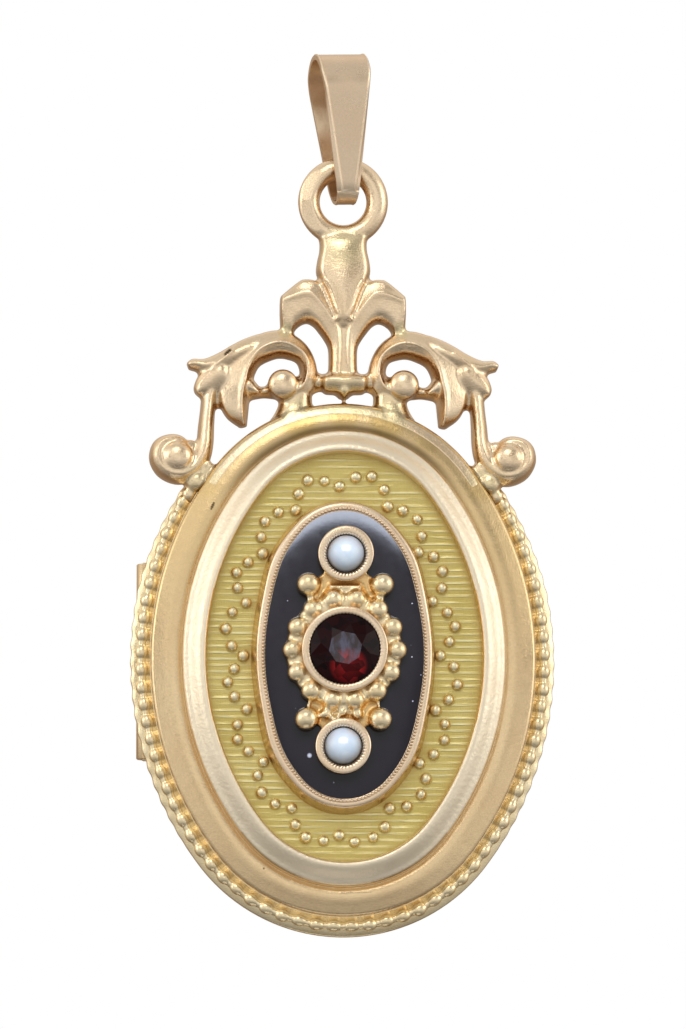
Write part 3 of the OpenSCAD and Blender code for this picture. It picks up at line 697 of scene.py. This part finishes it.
COLLAR = [
    (-1.16, 15.62, -1.16, 14.88, 1.45, 0.4), (-0.95, 15.76, -0.95, 14.7, 1.72, 0.38),
    (-0.45, 15.78, -0.45, 14.66, 1.84, 0.36), (0.05, 15.76, 0.05, 14.55, 1.88, 0.36),
    (0.55, 15.78, 0.55, 14.66, 1.84, 0.36), (1.08, 15.76, 1.08, 14.7, 1.72, 0.38),
    (1.3, 15.62, 1.3, 14.88, 1.45, 0.4)]
DROP_BEAD = [
    (-0.52, 15.1, 0.58, 15.1, 1.8), (-0.44, 14.7, 0.52, 14.7, 1.76), (-0.16, 14.42, 0.26, 14.42, 1.5)]
# Small round bosses: x, y, radius, top
KNOBS = [(0.0, 18.78, 0.55, 1.84), (-3.34, 15.12, 0.82, 1.92), (-3.02, 14.95, 0.80, 1.30),
         (-9.12, 11.06, 0.80, 1.98), (-9.50, 11.10, 1.02, 1.70), (-8.42, 11.66, 0.38, 1.25),
         (-7.72, 10.42, 0.62, 1.32)]
CREST_UP, CREST_BACK = 0.09, 0.2


def curve_through(rows, k):
    """Smooth rows between the given ones, k to each gap."""
    r = np.array(rows, float)
    ext = np.vstack([2 * r[0] - r[1], r, 2 * r[-1] - r[-2]])
    out = []
    for i in range(len(r) - 1):
        p0, p1, p2, p3 = ext[i:i + 4]
        for t in np.arange(k) / k:
            out.append(0.5 * (2 * p1 + (p2 - p0) * t + (2 * p0 - 5 * p1 + 4 * p2 - p3) * t * t
                              + (3 * p1 - p0 - 3 * p2 + p3) * t ** 3))
    out.append(r[-1])
    return np.array(out)


def run(rows, k=8, edge=0.62, crown=0.6, soft=0.10, line=0.0, far=None):
    """A rounded bar between two rails; edge is the height share at its sides, crown how round it is.

    soft and far are the shares of the width that roll off at the first and the second rail, and line is
    the height of a sharp line along the ridge."""
    m = 33
    r = curve_through([(*row, 0.5)[:6] for row in rows], k)
    a = 0.5 - 0.5 * np.cos(np.linspace(0, pi, m))
    a = 0.5 * a + 0.5 * np.linspace(0, 1, m)
    ridge = np.clip(r[:, 5:6], 0.1, 0.9)
    t = np.where(a[None] < ridge, a[None] / ridge, (1 - a[None]) / (1 - ridge))
    rise = edge + (1 - edge) * ((1 - crown) * t + crown * np.sin(t * pi / 2))
    lip = np.clip(np.minimum(a / soft, (1 - a) / (far or soft)), 0, 1)[None]
    u = rise * (0.45 + 0.55 * np.sqrt(1 - (1 - lip) ** 2))
    x = r[:, 0:1] + a[None] * (r[:, 2:3] - r[:, 0:1])
    y = r[:, 1:2] + a[None] * (r[:, 3:4] - r[:, 1:2]) + CREST_UP
    v = CREST_BACK + u * (r[:, 4:5] - CREST_BACK) + line * np.exp(-((a[None] - ridge) / 0.07) ** 2)
    top = np.stack([x, y, v], 2)
    low = top[:, ::-1].copy()
    low[:, :, 2] = CREST_BACK
    pts = np.concatenate([top, low], 1)
    return pts.reshape(-1, 3), capped(*pts.shape[:2])


def knob(x, y, r, top):
    """A round boss with a domed top."""
    rise = 0.62 * r
    prof = [(0, CREST_BACK), (r, CREST_BACK), (r, top - rise)]
    for a in np.linspace(0, pi / 2, 12)[1:]:
        prof.append((r * cos(a), top - rise + rise * sin(a)))
    return spin([(max(p, 1e-4), q) for p, q in prof], x, y + CREST_UP, 48)


def ring():
    """The round ring, its left side worn to two small flat faces."""
    n, m, slope, depth = 160, 40, 0.42, 0.47
    a, b = turns(n)[:, None], turns(m)[None]
    big = RING_R + WIRE_R * np.cos(b)
    pts = np.stack([big * np.cos(a), big * np.sin(a), WIRE_R * np.sin(b) + 0 * a], 2).reshape(-1, 3)
    for at in (158, 200):
        out = np.array([slope * cos(radians(at)), slope * sin(radians(at)), 0.907])
        far = pts @ out - (RING_R * slope + depth)
        pts = np.where((far > 0)[:, None] & (pts[:, 0] < 0)[:, None], pts - far[:, None] * out, pts)
    return pts + (0, RING_UP, PLANE), grid_faces(n, m, True, True)


def tucked(part):
    """Lifts the underside of a foot into the wall of the case, so that none of it shows inside."""
    pts, faces = part
    inner, low, reach = 4.55, 0.42, 1.1
    past = np.clip(oval_offset(pts) - inner, 0, reach)
    wall = low + np.sqrt(reach ** 2 - past ** 2)
    pts[:, 2] = np.where(past < reach, np.maximum(pts[:, 2], wall), pts[:, 2])
    return pts, faces


def rim_band():
    """The rolled edge of the dome where the crest is soldered on, so that the solder runs into it."""
    prof = [(5.12, 1.58), (5.22, 1.66), (5.4, 1.6), (5.6, 1.53), (5.74, 1.45), (5.83, 1.33), (5.88, 1.18),
            (5.88, 0.5), (5.56, 0.5), (5.46, 1.0), (5.12, 1.42)]
    n, rows = 150, []
    for a in np.radians(np.linspace(30, 150, n)):
        rows += [((END_R + d) * cos(a), END_C + (END_R + d) * sin(a), v) for d, v in prof]
    return np.array(rows), capped(n, len(prof))


def crest():
    """The left half and its mirror image, with the neck, stem, collar and drop between them."""
    half = [run(PETAL, 8, 0.83, 0.25, 0.08, line=0.06, far=0.30),
            run(SCROLL, 8, 0.66, 0.35, line=0.08, far=0.28), run(LEAF_HIGH, 6, 0.72, 0.7),
            run(LEAF_LOW, 6, 0.72, 0.8), run(LEG, 6, 0.62, 0.7, 0.2), tucked(run(FOOT, 6, 0.80, 1.0, 0.35)),
            run(BRIDGE_BALL, 6, 0.55, 1.0, 0.25), run(BRIDGE_IN, 6, 0.6, 1.0, 0.25), run(SPUR, 6, 0.6, 0.8),
            run(VEIN, 6, 0.9, 1.0, 0.3), run(V_LINE, 6, 0.94, 1.0, 0.3)]
    half += [knob(*row) for row in KNOBS]
    half.append(balls([(-8.05, 9.86, 0.95, 0.62, 0.8), (-8.42, 9.16, 0.72, 0.44, 0.8)], 20, 12))
    return join(rim_band(), *half, *[mirrored(p) for p in half], run(NECK, 8, 0.84, 1.0, 0.12),
                run(STEM, 8, 0.6, 1.0, 0.2), run(COLLAR, 8, 0.72, 0.9), run(DROP_BEAD, 8, 0.6, 0.9, 0.2))


def crest_marks(p):
    """Yellow solder at the joints, a dark nick in the left leaf, and the brown outer edge of the rim."""
    solder = blot(p, both([(2.6, 13.6, 1.0, 1), (3.2, 18.2, 0.6, 1), (0, 22.8, 1.5, 0.9),
                           (7.6, 9.6, 1.6, 0.8), (0, 13.6, 2.6, 1), (2.4, 13.4, 1.6, 1)]))
    nick = blot(p, [(-6.28, 17.04, 0.15, 1), (-6.40, 16.93, 0.15, 1), (-6.52, 16.82, 0.12, 1)])
    d = oval_offset(p)
    edge = np.clip((d - 5.62) / 0.15, 0, 0.55) * (d < 5.95) * (p[:, 1] > 8) * (p[:, 2] < 1.5)
    # where the openings are; the material paints shade on their walls
    pierced = blot(p, both([(1.9, 17.9, 2.6, 1), (3.5, 15.7, 2.8, 1), (0, 14.7, 2.6, 1),
                            (5.6, 13.1, 1.6, 0.8), (0, 25.45, 2.1, 0.9)]))
    return np.column_stack([solder, np.maximum(nick, edge), 0 * d, np.maximum(pierced, 0.2)])


# Case
# Section of the front half, offset and height: rolled edge, dome, moulding, ledge, and the inside
FRONT_OUTLINE = (
    [(5.37, 0.05), (5.86, 0.05), (5.86, 0.42), (5.86, 0.9)] + arc(5.58, 1.22, 0.28, 0, 72, 10)
    + [(5.40, 1.578), (5.22, 1.64), (5.08, 1.69), (4.93, 1.725), (4.78, 1.75), (4.64, 1.758), (4.50, 1.75),
       (4.40, 1.73), (4.33, 1.71), (4.26, 1.69), (4.21, 1.69), (4.18, 1.76), (4.17, 2.12), (4.12, 2.24),
       (4.02, 2.31), (3.90, 2.35), (3.80, 2.41), (3.68, 2.52), (3.55, 2.65), (3.42, 2.77), (3.30, 2.86),
       (3.20, 2.91), (3.10, 2.94), (3.00, 2.93), (2.93, 2.88), (2.88, 2.78), (2.86, 2.62), (2.86, 2.3),
       (2.86, 1.98), (2.86, 1.66), (2.30, 1.65), (2.30, 1.32), (3.2, 1.32), (3.2, 2.5), (3.84, 2.0),
       (3.84, 1.32), (4.55, 1.32)] + arc(4.55, 0.42, 0.9, 85, 0, 12))


def stretch(path, d, v):
    """The inner lines lie a little nearer at the sides and further at the ends."""
    share = np.clip((5.3 - d) / 0.9, 0, 1) * np.clip(d / 1.5, 0, 1)
    return d + share * (0.16 * path[:, 3:4] ** 2 - 0.04), v


def front_marks(p):
    """Solder under the crest, with more of its brown tone toward the top of the dome as a painted
    reflection of the crest; painted shade in the grooves beside the moulding and low on the moulding; the
    seam at the edge; the satin moulding.
    """
    d, y, v = oval_offset(p), p[:, 1], p[:, 2]
    # painted shade in the groove beside the moulding, broader and darker along the top
    groove = np.clip(1 - np.abs(d - 4.24) / 0.05, 0, 1) * (v > 1.3) * 0.12
    top_groove = np.clip(1.3 - np.abs(d - 4.42) / 0.30, 0, 1) * np.clip((y - 8.5) / 5, 0, 0.55)
    # painted shade on the outer slope of the moulding, low down
    slope = np.clip((d - 3.1) / 0.12, 0, 1) * np.clip((4.1 - d) / 0.25, 0, 1)
    low_slope = slope * np.clip((-y - 8) / 4, 0, 1) * 0.32
    seam = np.clip(1 - np.abs(v - 0.40) / 0.08, 0, 1) * (d > 5.7) * 0.8
    dark = np.maximum.reduce([groove, top_groove, low_slope, seam])
    # solder under the crest's feet; the share rising toward the top is a painted reflection of the crest in
    # the dome
    solder = blot(p, [(-2.4, 13.1, 1.7, 1), (2.4, 13.1, 1.7, 1), (0, 13.5, 1.5, 0.9), (-7.6, 9.6, 1.6, 0.7),
                      (7.6, 9.6, 1.6, 0.8), (-4.6, 12.0, 1.4, 0.5), (4.6, 12.0, 1.4, 0.7)])
    solder = np.maximum(solder, np.clip((y + 1) / 16, 0, 0.45)) * (d > 4.3)
    satin = (np.abs(d - 3.52) < 0.62) & (v > 1.9)
    return np.column_stack([solder, dark, satin])


def flange():
    """The rim that carries the beads, hollow next to the dome, its outer edge waved in step with them."""
    rows, count, steps = [], 33, 14
    for i in range(-count * steps, count * steps + 1):
        s = i * PITCH / steps
        x, y, ux, uy = oval_at(s, RIM)
        wave = 0.03 * cos(2 * pi * s / PITCH) * (1 if y > -8 else max(0, (y + 10.5) / 2.5))
        reach = 0.535 - 0.19 * min(max((y - 4) / 5, 0), 1) + wave
        prof = ((-0.70, 0.08), (reach - 0.05, 0.05), (reach, 0.12), (reach, 0.34), (reach - 0.06, 0.42),
                (0.10, 0.50), (-0.22, 0.62), (-0.40, 0.80), (-0.49, 1.02), (-0.70, 1.06))
        rows += [(x + d * ux, y + d * uy, v) for d, v in prof]
    return np.array(rows), capped(2 * count * steps + 1, len(prof))


def rim_beads():
    """Worn beads in a row, joined by soft necks."""
    k, m, beads, rows = 16, 20, 66, []
    bead_r, neck_r, squeeze, middle = 0.355, 0.22, 0.78, 0.56
    size, drift = 1 + rng.normal(0, 0.04, beads), rng.normal(0, 0.02, beads)
    for i in range(beads * k + 1):
        b = min(i // k, beads - 1)
        u = (i / k - b - 0.5) * PITCH
        r = max(sqrt(max(bead_r ** 2 - (squeeze * u) ** 2, 0.01)) * size[b], neck_r)
        place = (i / k - beads / 2) * PITCH
        x, y, ux, uy = oval_at(place, RIM - 0.04 + drift[b] * cos(pi * u / PITCH))
        for a in turns(m):
            rows.append((x + ux * r * cos(a), y + uy * r * cos(a), middle + r * sin(a)))
    return np.array(rows), capped(beads * k + 1, m)


def tube(y0, y1, outer, inner):
    """A pipe on the hinge line, its ends slightly rounded."""
    n, e = 40, 0.05
    prof = [(inner, y0), (outer - e, y0), (outer, y0 + e), (outer, y1 - e), (outer - e, y1), (inner, y1)]
    a = turns(n)
    pts = [(HINGE_X + r * cos(t), y, HINGE_V + r * sin(t)) for t in a for r, y in prof]
    return np.array(pts), grid_faces(n, len(prof), True, True)


def knuckle(y0, y1, x0, x1, v0, v1):
    """A knuckle of the hinge with the block of solder that holds it."""
    return join(tube(y0, y1, KNUCKLE_R, BORE_R), box(x0, x1, y0, y1, v0, v1))


def box(x0, x1, y0, y1, v0, v1):
    """A small block with chamfered edges, as filed solder."""
    bm = bmesh.new()
    bmesh.ops.create_cube(bm, size=1.0)
    for p in bm.verts:
        p.co = Vector(((x0 + x1) / 2 + p.co.x * (x1 - x0), (y0 + y1) / 2 + p.co.y * (y1 - y0),
                       (v0 + v1) / 2 + p.co.z * (v1 - v0)))
    bmesh.ops.bevel(bm, geom=bm.edges[:], offset=0.04, segments=2, affect="EDGES")
    bm.verts.index_update()
    out = np.array([p.co[:] for p in bm.verts]), [tuple(v.index for v in f.verts) for f in bm.faces]
    bm.free()
    return out


# Panel and stones
# Places of the granules, from the middle of the top down the left and up the right
GRAINS = [
    (-0.26, 9.47), (-1.09, 9.76), (-2.0, 9.79), (-2.51, 9.03), (-2.68, 8.14), (-3.62, 8.01),
    (-4.36, 7.49), (-4.56, 6.63), (-4.48, 5.72), (-5.28, 5.23), (-5.91, 4.65), (-5.85, 3.81),
    (-5.39, 2.99), (-6.14, 2.47), (-6.5, 1.55), (-6.17, 0.61), (-5.54, 0.07), (-6.03, -0.66),
    (-6.39, -1.4), (-6.01, -2.2), (-5.34, -2.88), (-5.85, -3.74), (-5.85, -4.55), (-5.25, -5.2),
    (-4.43, -5.78), (-4.74, -6.52), (-4.52, -7.47), (-3.78, -8.09), (-2.87, -8.32), (-2.68, -9.22),
    (-2.11, -9.91), (-1.13, -10.09), (-0.28, -9.8), (0.57, -10.14), (1.6, -9.89), (2.23, -9.31),
    (2.49, -8.3), (3.43, -8.18), (4.22, -7.53), (4.48, -6.66), (4.13, -5.81), (4.91, -5.32), (5.5, -4.52),
    (5.53, -3.64), (5.01, -2.88), (5.74, -2.3), (6.22, -1.46), (6.02, -0.47), (5.28, 0.13), (5.78, 0.91),
    (6.1, 1.75), (5.67, 2.52), (4.85, 3.13), (5.36, 3.86), (5.4, 4.79), (4.92, 5.61), (4.07, 5.84),
    (4.27, 6.73), (4.02, 7.66), (3.23, 8.15), (2.4, 8.37), (2.2, 9.3), (1.52, 10.02), (0.63, 9.98)]


def granules():
    return balls([(x, y, 2.10, 0.325 * (1 + rng.normal(0, 0.04)), 1.0) for x, y in GRAINS], 20, 12)


def onyx_collet():
    """Sloping wall with a thin rim and a row of tiny milled beads along the stone."""
    wall = sweep([(0.0, 1.95), (0.36, 1.95), (0.34, 2.06), (0.14, 3.32), (0.09, 3.42), (0.0, 3.47),
                  (-0.12, 3.49), (-0.30, 3.46), (-0.38, 3.42), (-0.36, 3.34), (-0.05, 3.30)], 480)
    rows, s, pitch, line = [], 0.0, 0.19, -0.24
    while oval_at(s, line)[0] > 1e-3 or s == 0.0:
        x, y = oval_at(s, line)[:2]
        rows += [(x, y, 3.49, 0.105, 1.0)] + ([(-x, y, 3.49, 0.105, 1.0)] if s > 0 else [])
        s += pitch
    return join(wall, balls(rows, 8, 6))


def collet_marks(p):
    """Wall below the bright rim, stained and darkened with painted shade."""
    wall = np.clip((3.36 - p[:, 2]) / 0.2, 0, 1) * (p[:, 2] < 3.36)
    return np.column_stack([0.85 * wall, 0 * wall])


def fuller(part):
    """The stone's oval is fuller at its shoulders than the four arcs, and sits left of the middle."""
    x, y = part[0][:, 0], part[0][:, 1]
    wide = 0.994 + 0.105 * np.exp(-((np.abs(y) - 6.2) / 2.2) ** 2)
    return np.column_stack([x * wide - 0.05, part[0][:, 1:]]), part[1]


def askew(part):
    """The gem mount was soldered on leaning slightly to the right."""
    return np.column_stack([part[0][:, 0] + 0.014 * part[0][:, 1] - 0.09, part[0][:, 1:]]), part[1]


def onyx():
    """The plaque: an oval slab with a shallow dome."""
    outer = [(-0.04, 2.03), (-0.04, 3.33), (-0.08, 3.37), (-0.2, 3.40)]
    shares = (0.985, 0.97, 0.95, 0.92, 0.88, 0.84, 0.8, 0.75, 0.7, 0.6, 0.5, 0.4, 0.3, 0.2, 0.1)
    top = [(s, 3.40 + 0.20 * (1 - s ** 6)) for s in shares]
    return disc(outer, (top, [(0.5, 2.03)]))


def mount_plate():
    """The pierced plate under the garnet and pearls, the same above and below."""
    half = [(0.0, 2.95), (0.6, 2.88), (1.2, 2.70), (1.8, 2.34), (2.3, 1.95), (2.8, 1.72), (3.3, 1.80),
            (3.72, 1.85), (4.05, 1.45), (4.3, 1.10), (4.7, 1.28), (5.1, 1.42), (5.5, 1.41), (6.0, 1.25),
            (6.4, 0.93), (6.65, 0.52), (6.74, 0.05)]
    right = [(x, y) for y, x in half[::-1]] + [(x, -y) for y, x in half[1:]]
    left = [(-x, y) for x, y in right[::-1]]
    return slab(np.array(right + left) + (0, GEM_UP), 3.64, 3.90)


def collet(y, r0, r1, v1, seat, notches, depth):
    """A round seat with a notched rim: foot, rim and stone radius, height, notches and their depth."""
    prof = [(r0 - 0.3, 3.66), (r0, 3.66), (r1, v1 - 0.09), (r1 - 0.03, v1 - 0.03), (r1 - 0.09, v1),
            (seat + 0.16, v1 + 0.01), (seat + 0.06, v1 - 0.04), (seat, v1 - 0.12), (seat, 4.0),
            (r0 - 0.3, 4.0)]

    def mill(a, r, v):
        edge = (np.abs(r - seat - 0.06) < 0.08) & (v > v1 - 0.15)
        k = np.abs(np.sin(a * notches / 2))
        return np.where(edge, r + depth * (1 - k), r), np.where(edge, v - depth * (1 - k), v)

    return spin(prof, 0, y, notches * 6, mill)


def halo():
    """The ring of beads round the garnet, the corner balls and loose grains, all sunk in solder."""
    rows, count = [], 14
    for i in range(count):
        a, r = i * 2 * pi / count, 2.83 + rng.normal(0, 0.03)
        rows.append((r * cos(a), GEM_UP + r * sin(a), 4.02 + rng.normal(0, 0.02),
                     0.59 * (1 + rng.normal(0, 0.03)), 1.0))
    rows += [(s * 2.03, GEM_UP - 0.1 + t * 3.70, 4.14, 0.64, 1.0) for s in (-1, 1) for t in (-1, 1)]
    rows += [(x, GEM_UP + y, 4.0, r, 1.0) for x, y, r in
             ((-0.95, -3.50, 0.27), (-0.05, -3.40, 0.25), (0.75, -3.52, 0.28), (-0.45, -3.85, 0.22))]
    rows += [(x, GEM_UP + 3.46, 3.98, 0.16, 1.0) for x in np.linspace(-0.75, 0.75, 9)]
    band = spin([(2.2, 3.66), (3.2, 3.66), (3.2, 3.92), (3.12, 4.1), (2.94, 4.26), (2.6, 4.32), (2.2, 4.3)],
                0, GEM_UP, 96)
    return join(balls(rows, 28, 18), band)


def halo_marks(p):
    """Solder low down between the beads."""
    return np.column_stack([np.clip((4.10 - p[:, 2]) / 0.14, 0, 0.9), 0 * p[:, 0]])


def brilliant():
    """A round stone: table, stars, kites and girdle facets over a shallow pavilion."""
    pts, faces, turned, scale = [], [], 11, 0.935

    def point(r, deg, v):
        a, r = radians(deg + turned), scale * r
        pts.append((r * cos(a), GEM_UP + r * sin(a), v))
        return len(pts) - 1

    table = [point(0.98, 45 * k, 5.16) for k in range(8)]
    star = [point(1.46, 45 * k + 22.5, 4.98) for k in range(8)]
    upper = [point(2.05, 22.5 * k, 4.66) for k in range(16)]
    lower = [point(2.05, 22.5 * k, 4.58) for k in range(16)]
    pav = [point(0.75, 45 * k + 22.5, 4.2) for k in range(8)]
    culet = point(0, 0, 4.05)
    faces.append(tuple(table))
    for k in range(8):
        n, g = (k + 1) % 8, 2 * k
        faces += [(table[k], star[k], table[n]), (table[k], star[k - 1], upper[g], star[k]),
                  (star[k], upper[g], upper[g + 1]), (star[k], upper[g + 1], upper[(g + 2) % 16]),
                  (lower[g], pav[k - 1], pav[k]), (lower[g], pav[k], lower[g + 1]),
                  (lower[g + 1], pav[k], lower[(g + 2) % 16]), (pav[k], pav[k - 1], culet)]
    for k in range(16):
        n = (k + 1) % 16
        faces.append((upper[k], lower[k], lower[n], upper[n]))
    return np.array(pts), faces


def pearl(y):
    """A half pearl on its flat."""
    r, flat = 1.03, 4.03
    prof = [(1e-4, flat), (r * 0.98, flat)]
    prof += [(r * cos(a), 4.06 + (r - 0.05) * sin(a)) for a in np.linspace(0.02, pi / 2, 22)]
    return spin([(max(p, 1e-4), q) for p, q in prof], 0, y, 64)


# Back half
def back_shell():
    """A shallow bowl with a rounded edge, cut straight beside the hinge."""
    outer = [(5.40, -0.05), (5.80, -0.05), (5.80, -0.55)] + arc(4.05, -0.55, 1.75, -6, -90, 20)
    inner = [(4.05, -1.9)] + arc(4.05, -0.55, 1.35, -86, 0, 12)
    path, loops = oval_path(300), []
    for d, v in inner + outer:
        p = level_row(path, d, v)
        notch = (np.abs(p[:, 1]) < 5.5) & (p[:, 0] < -9.0)
        p[:, 0] = np.where(notch, np.maximum(p[:, 0], -10.1 if d > 5.45 else -9.75), p[:, 0])
        loops.append(p)
    shares = (0.97, 0.9, 0.6, 0.3, 0.1)
    starts = [loops[0] * (s, s, 1) for s in shares[::-1]]
    ends = [loops[-1] * (s, s, 1) for s in shares]
    loops = starts + loops + ends
    return np.concatenate(loops), capped(len(loops), len(path))


def back_lip():
    """The lip that springs into the front half, cut down beside the hinge."""
    def dip(path, d, v):
        r = path[:, 4:5] + d
        x, y = path[:, 0:1] + r * path[:, 2:3], path[:, 1:2] + r * path[:, 3:4]
        return d, np.where((x < -8.7) & (np.abs(y) < 5.7), np.minimum(v, -0.06), v)

    return sweep([(5.0, -0.5), (5.3, -0.5), (5.3, 0.52), (5.26, 0.6), (5.04, 0.6), (5.0, 0.56)], 300, dip)


# Build
camera()
studio()
# A short black scratch and a dot on the dome, and a scratch along its lower edge: x, y, v, radius
scratches = [(-7.15, 8.53, 1.72, 0.09), (-7.19, 8.43, 1.72, 0.11), (-7.24, 8.32, 1.72, 0.11),
             (-7.28, 8.21, 1.72, 0.08), (-4.38, -11.60, 1.72, 0.08)]
scratches += [(x, -12.92 + 0.03 * x, 1.73, 0.045) for x in np.arange(-0.1, 1.5, 0.12)]
rose = gold("rose_gold", (0.86, 0.66, 0.40), (0.84, 0.62, 0.36))
# on the dome the solder tone is a darker brown, solder and a painted reflection of the crest together
domed = gold("rose_gold_dome", (0.86, 0.65, 0.38), (0.82, 0.60, 0.34), rough=0.2, solder=(0.68, 0.48, 0.20),
             wobble=1.8, grime_and_shade=0.3, reach=0.0003, cuts=scratches)
bright = gold("rose_gold_beads", (0.97, 0.82, 0.54), (0.93, 0.74, 0.44), rough=0.21, grime_and_shade=0.3,
              reach=0.0003)
cast = gold("rose_gold_cast", (0.97, 0.77, 0.53), (0.92, 0.69, 0.44), rough=0.11, bump=0.35, wobble=1.6,
            reach=0.0008, solder=(0.90, 0.74, 0.44), walls=0.8)
yellow = gold("yellow_gold", (0.95, 0.79, 0.52), (0.90, 0.71, 0.42), rough=0.22, solder=(0.80, 0.52, 0.22))
rim_gold = gold("collet_gold", (0.92, 0.74, 0.54), (0.87, 0.66, 0.44), grime_and_shade=0.5, solder=(0.70, 0.45, 0.18))
green = gold("green_gold", (0.70, 0.57, 0.21), (0.62, 0.49, 0.15), rough=0.34, lines=True, bump=0.5,
             reach=0.0008)
grain_gold = gold("granule_gold", (0.97, 0.88, 0.60), (0.92, 0.80, 0.50), rough=0.30, grime_and_shade=0.12)
black, wine, white = onyx_stone("onyx_black"), garnet_stone("garnet_red"), pearl_stone("pearl_white")
strap_gold = gold("rose_gold_strap", (0.83, 0.65, 0.46), (0.79, 0.60, 0.41), rough=0.30)

piece("bail_strap", strap(), strap_gold, "bail", case=False, smooth=18, marks=strap_marks)
piece("crest_scrolls", casting(join(crest(), ring()), 0.055, 0.12, 0.5), cast, "front_case", smooth=180,
      marks=crest_marks)
piece("case_dome", sweep(FRONT_OUTLINE, 480, stretch), domed, "front_case", marks=front_marks)
piece("case_rim", flange(), bright, "front_case")
piece("rim_beads", rim_beads(), bright, "front_case", smooth=180)
ends = [knuckle(y0, y1, -11.0, -10.5, -0.22, 0.1) for y0, y1 in ((1.85, BARREL), (-BARREL, -1.85))]
piece("front_knuckles", join(*ends), rose, "front_case")
plate = disc([(3.0, 1.65), (3.0, 2.0), (0.1, 2.0)], ([(0.7, 2.0), (0.3, 2.0)], [(0.7, 1.65), (0.3, 1.65)]))
piece("panel_plate", plate, green, "panel")
piece("panel_granules", granules(), grain_gold, "panel", smooth=180)
piece("panel_collet", fuller(onyx_collet()), rim_gold, "panel", smooth=60, marks=collet_marks)
plaque = piece("onyx_cabochon", fuller(onyx()), black, "onyx_plaque")
seats = [collet(GEM_UP, 2.3, 2.36, 4.72, 1.88, 64, 0.015)]
seats += [collet(GEM_UP + s * PEARL_OFF, 1.45, 1.53, 4.46, 1.05, 44, 0.03) for s in (1, -1)]
piece("mount_collets", askew(join(*seats)), rim_gold, "gem_mount")
piece("mount_beads", askew(casting(join(mount_plate(), halo()), 0.05, 0.15, 0.6)), yellow, "gem_mount",
      smooth=180, marks=halo_marks)
gem = piece("garnet_stone", askew(brilliant()), wine, "garnet", smooth=1)
# the table facet: more shine and the painted bluish reflection
gem.data.materials.append(garnet_stone("garnet_table", 0.35, 0.7))
gem.data.polygons[0].material_index = 1
catching = [plaque]
for name, node, side in (("pearl_high", "pearl_upper", 1), ("pearl_low", "pearl_lower", -1)):
    shape = askew(pearl(GEM_UP + side * PEARL_OFF))
    catching.append(piece(name, shape, white, node, smooth=180))
piece("hinge_rod", tube(-5.48, 5.48, 0.25, 0.001), yellow, "hinge_pin")
piece("back_shell", back_shell(), rose, "back_case")
piece("back_lip", back_lip(), rose, "back_case")
piece("back_knuckle", knuckle(-1.75, 1.75, -10.35, -9.95, -0.9, -0.3), rose, "back_case")
window(catching)
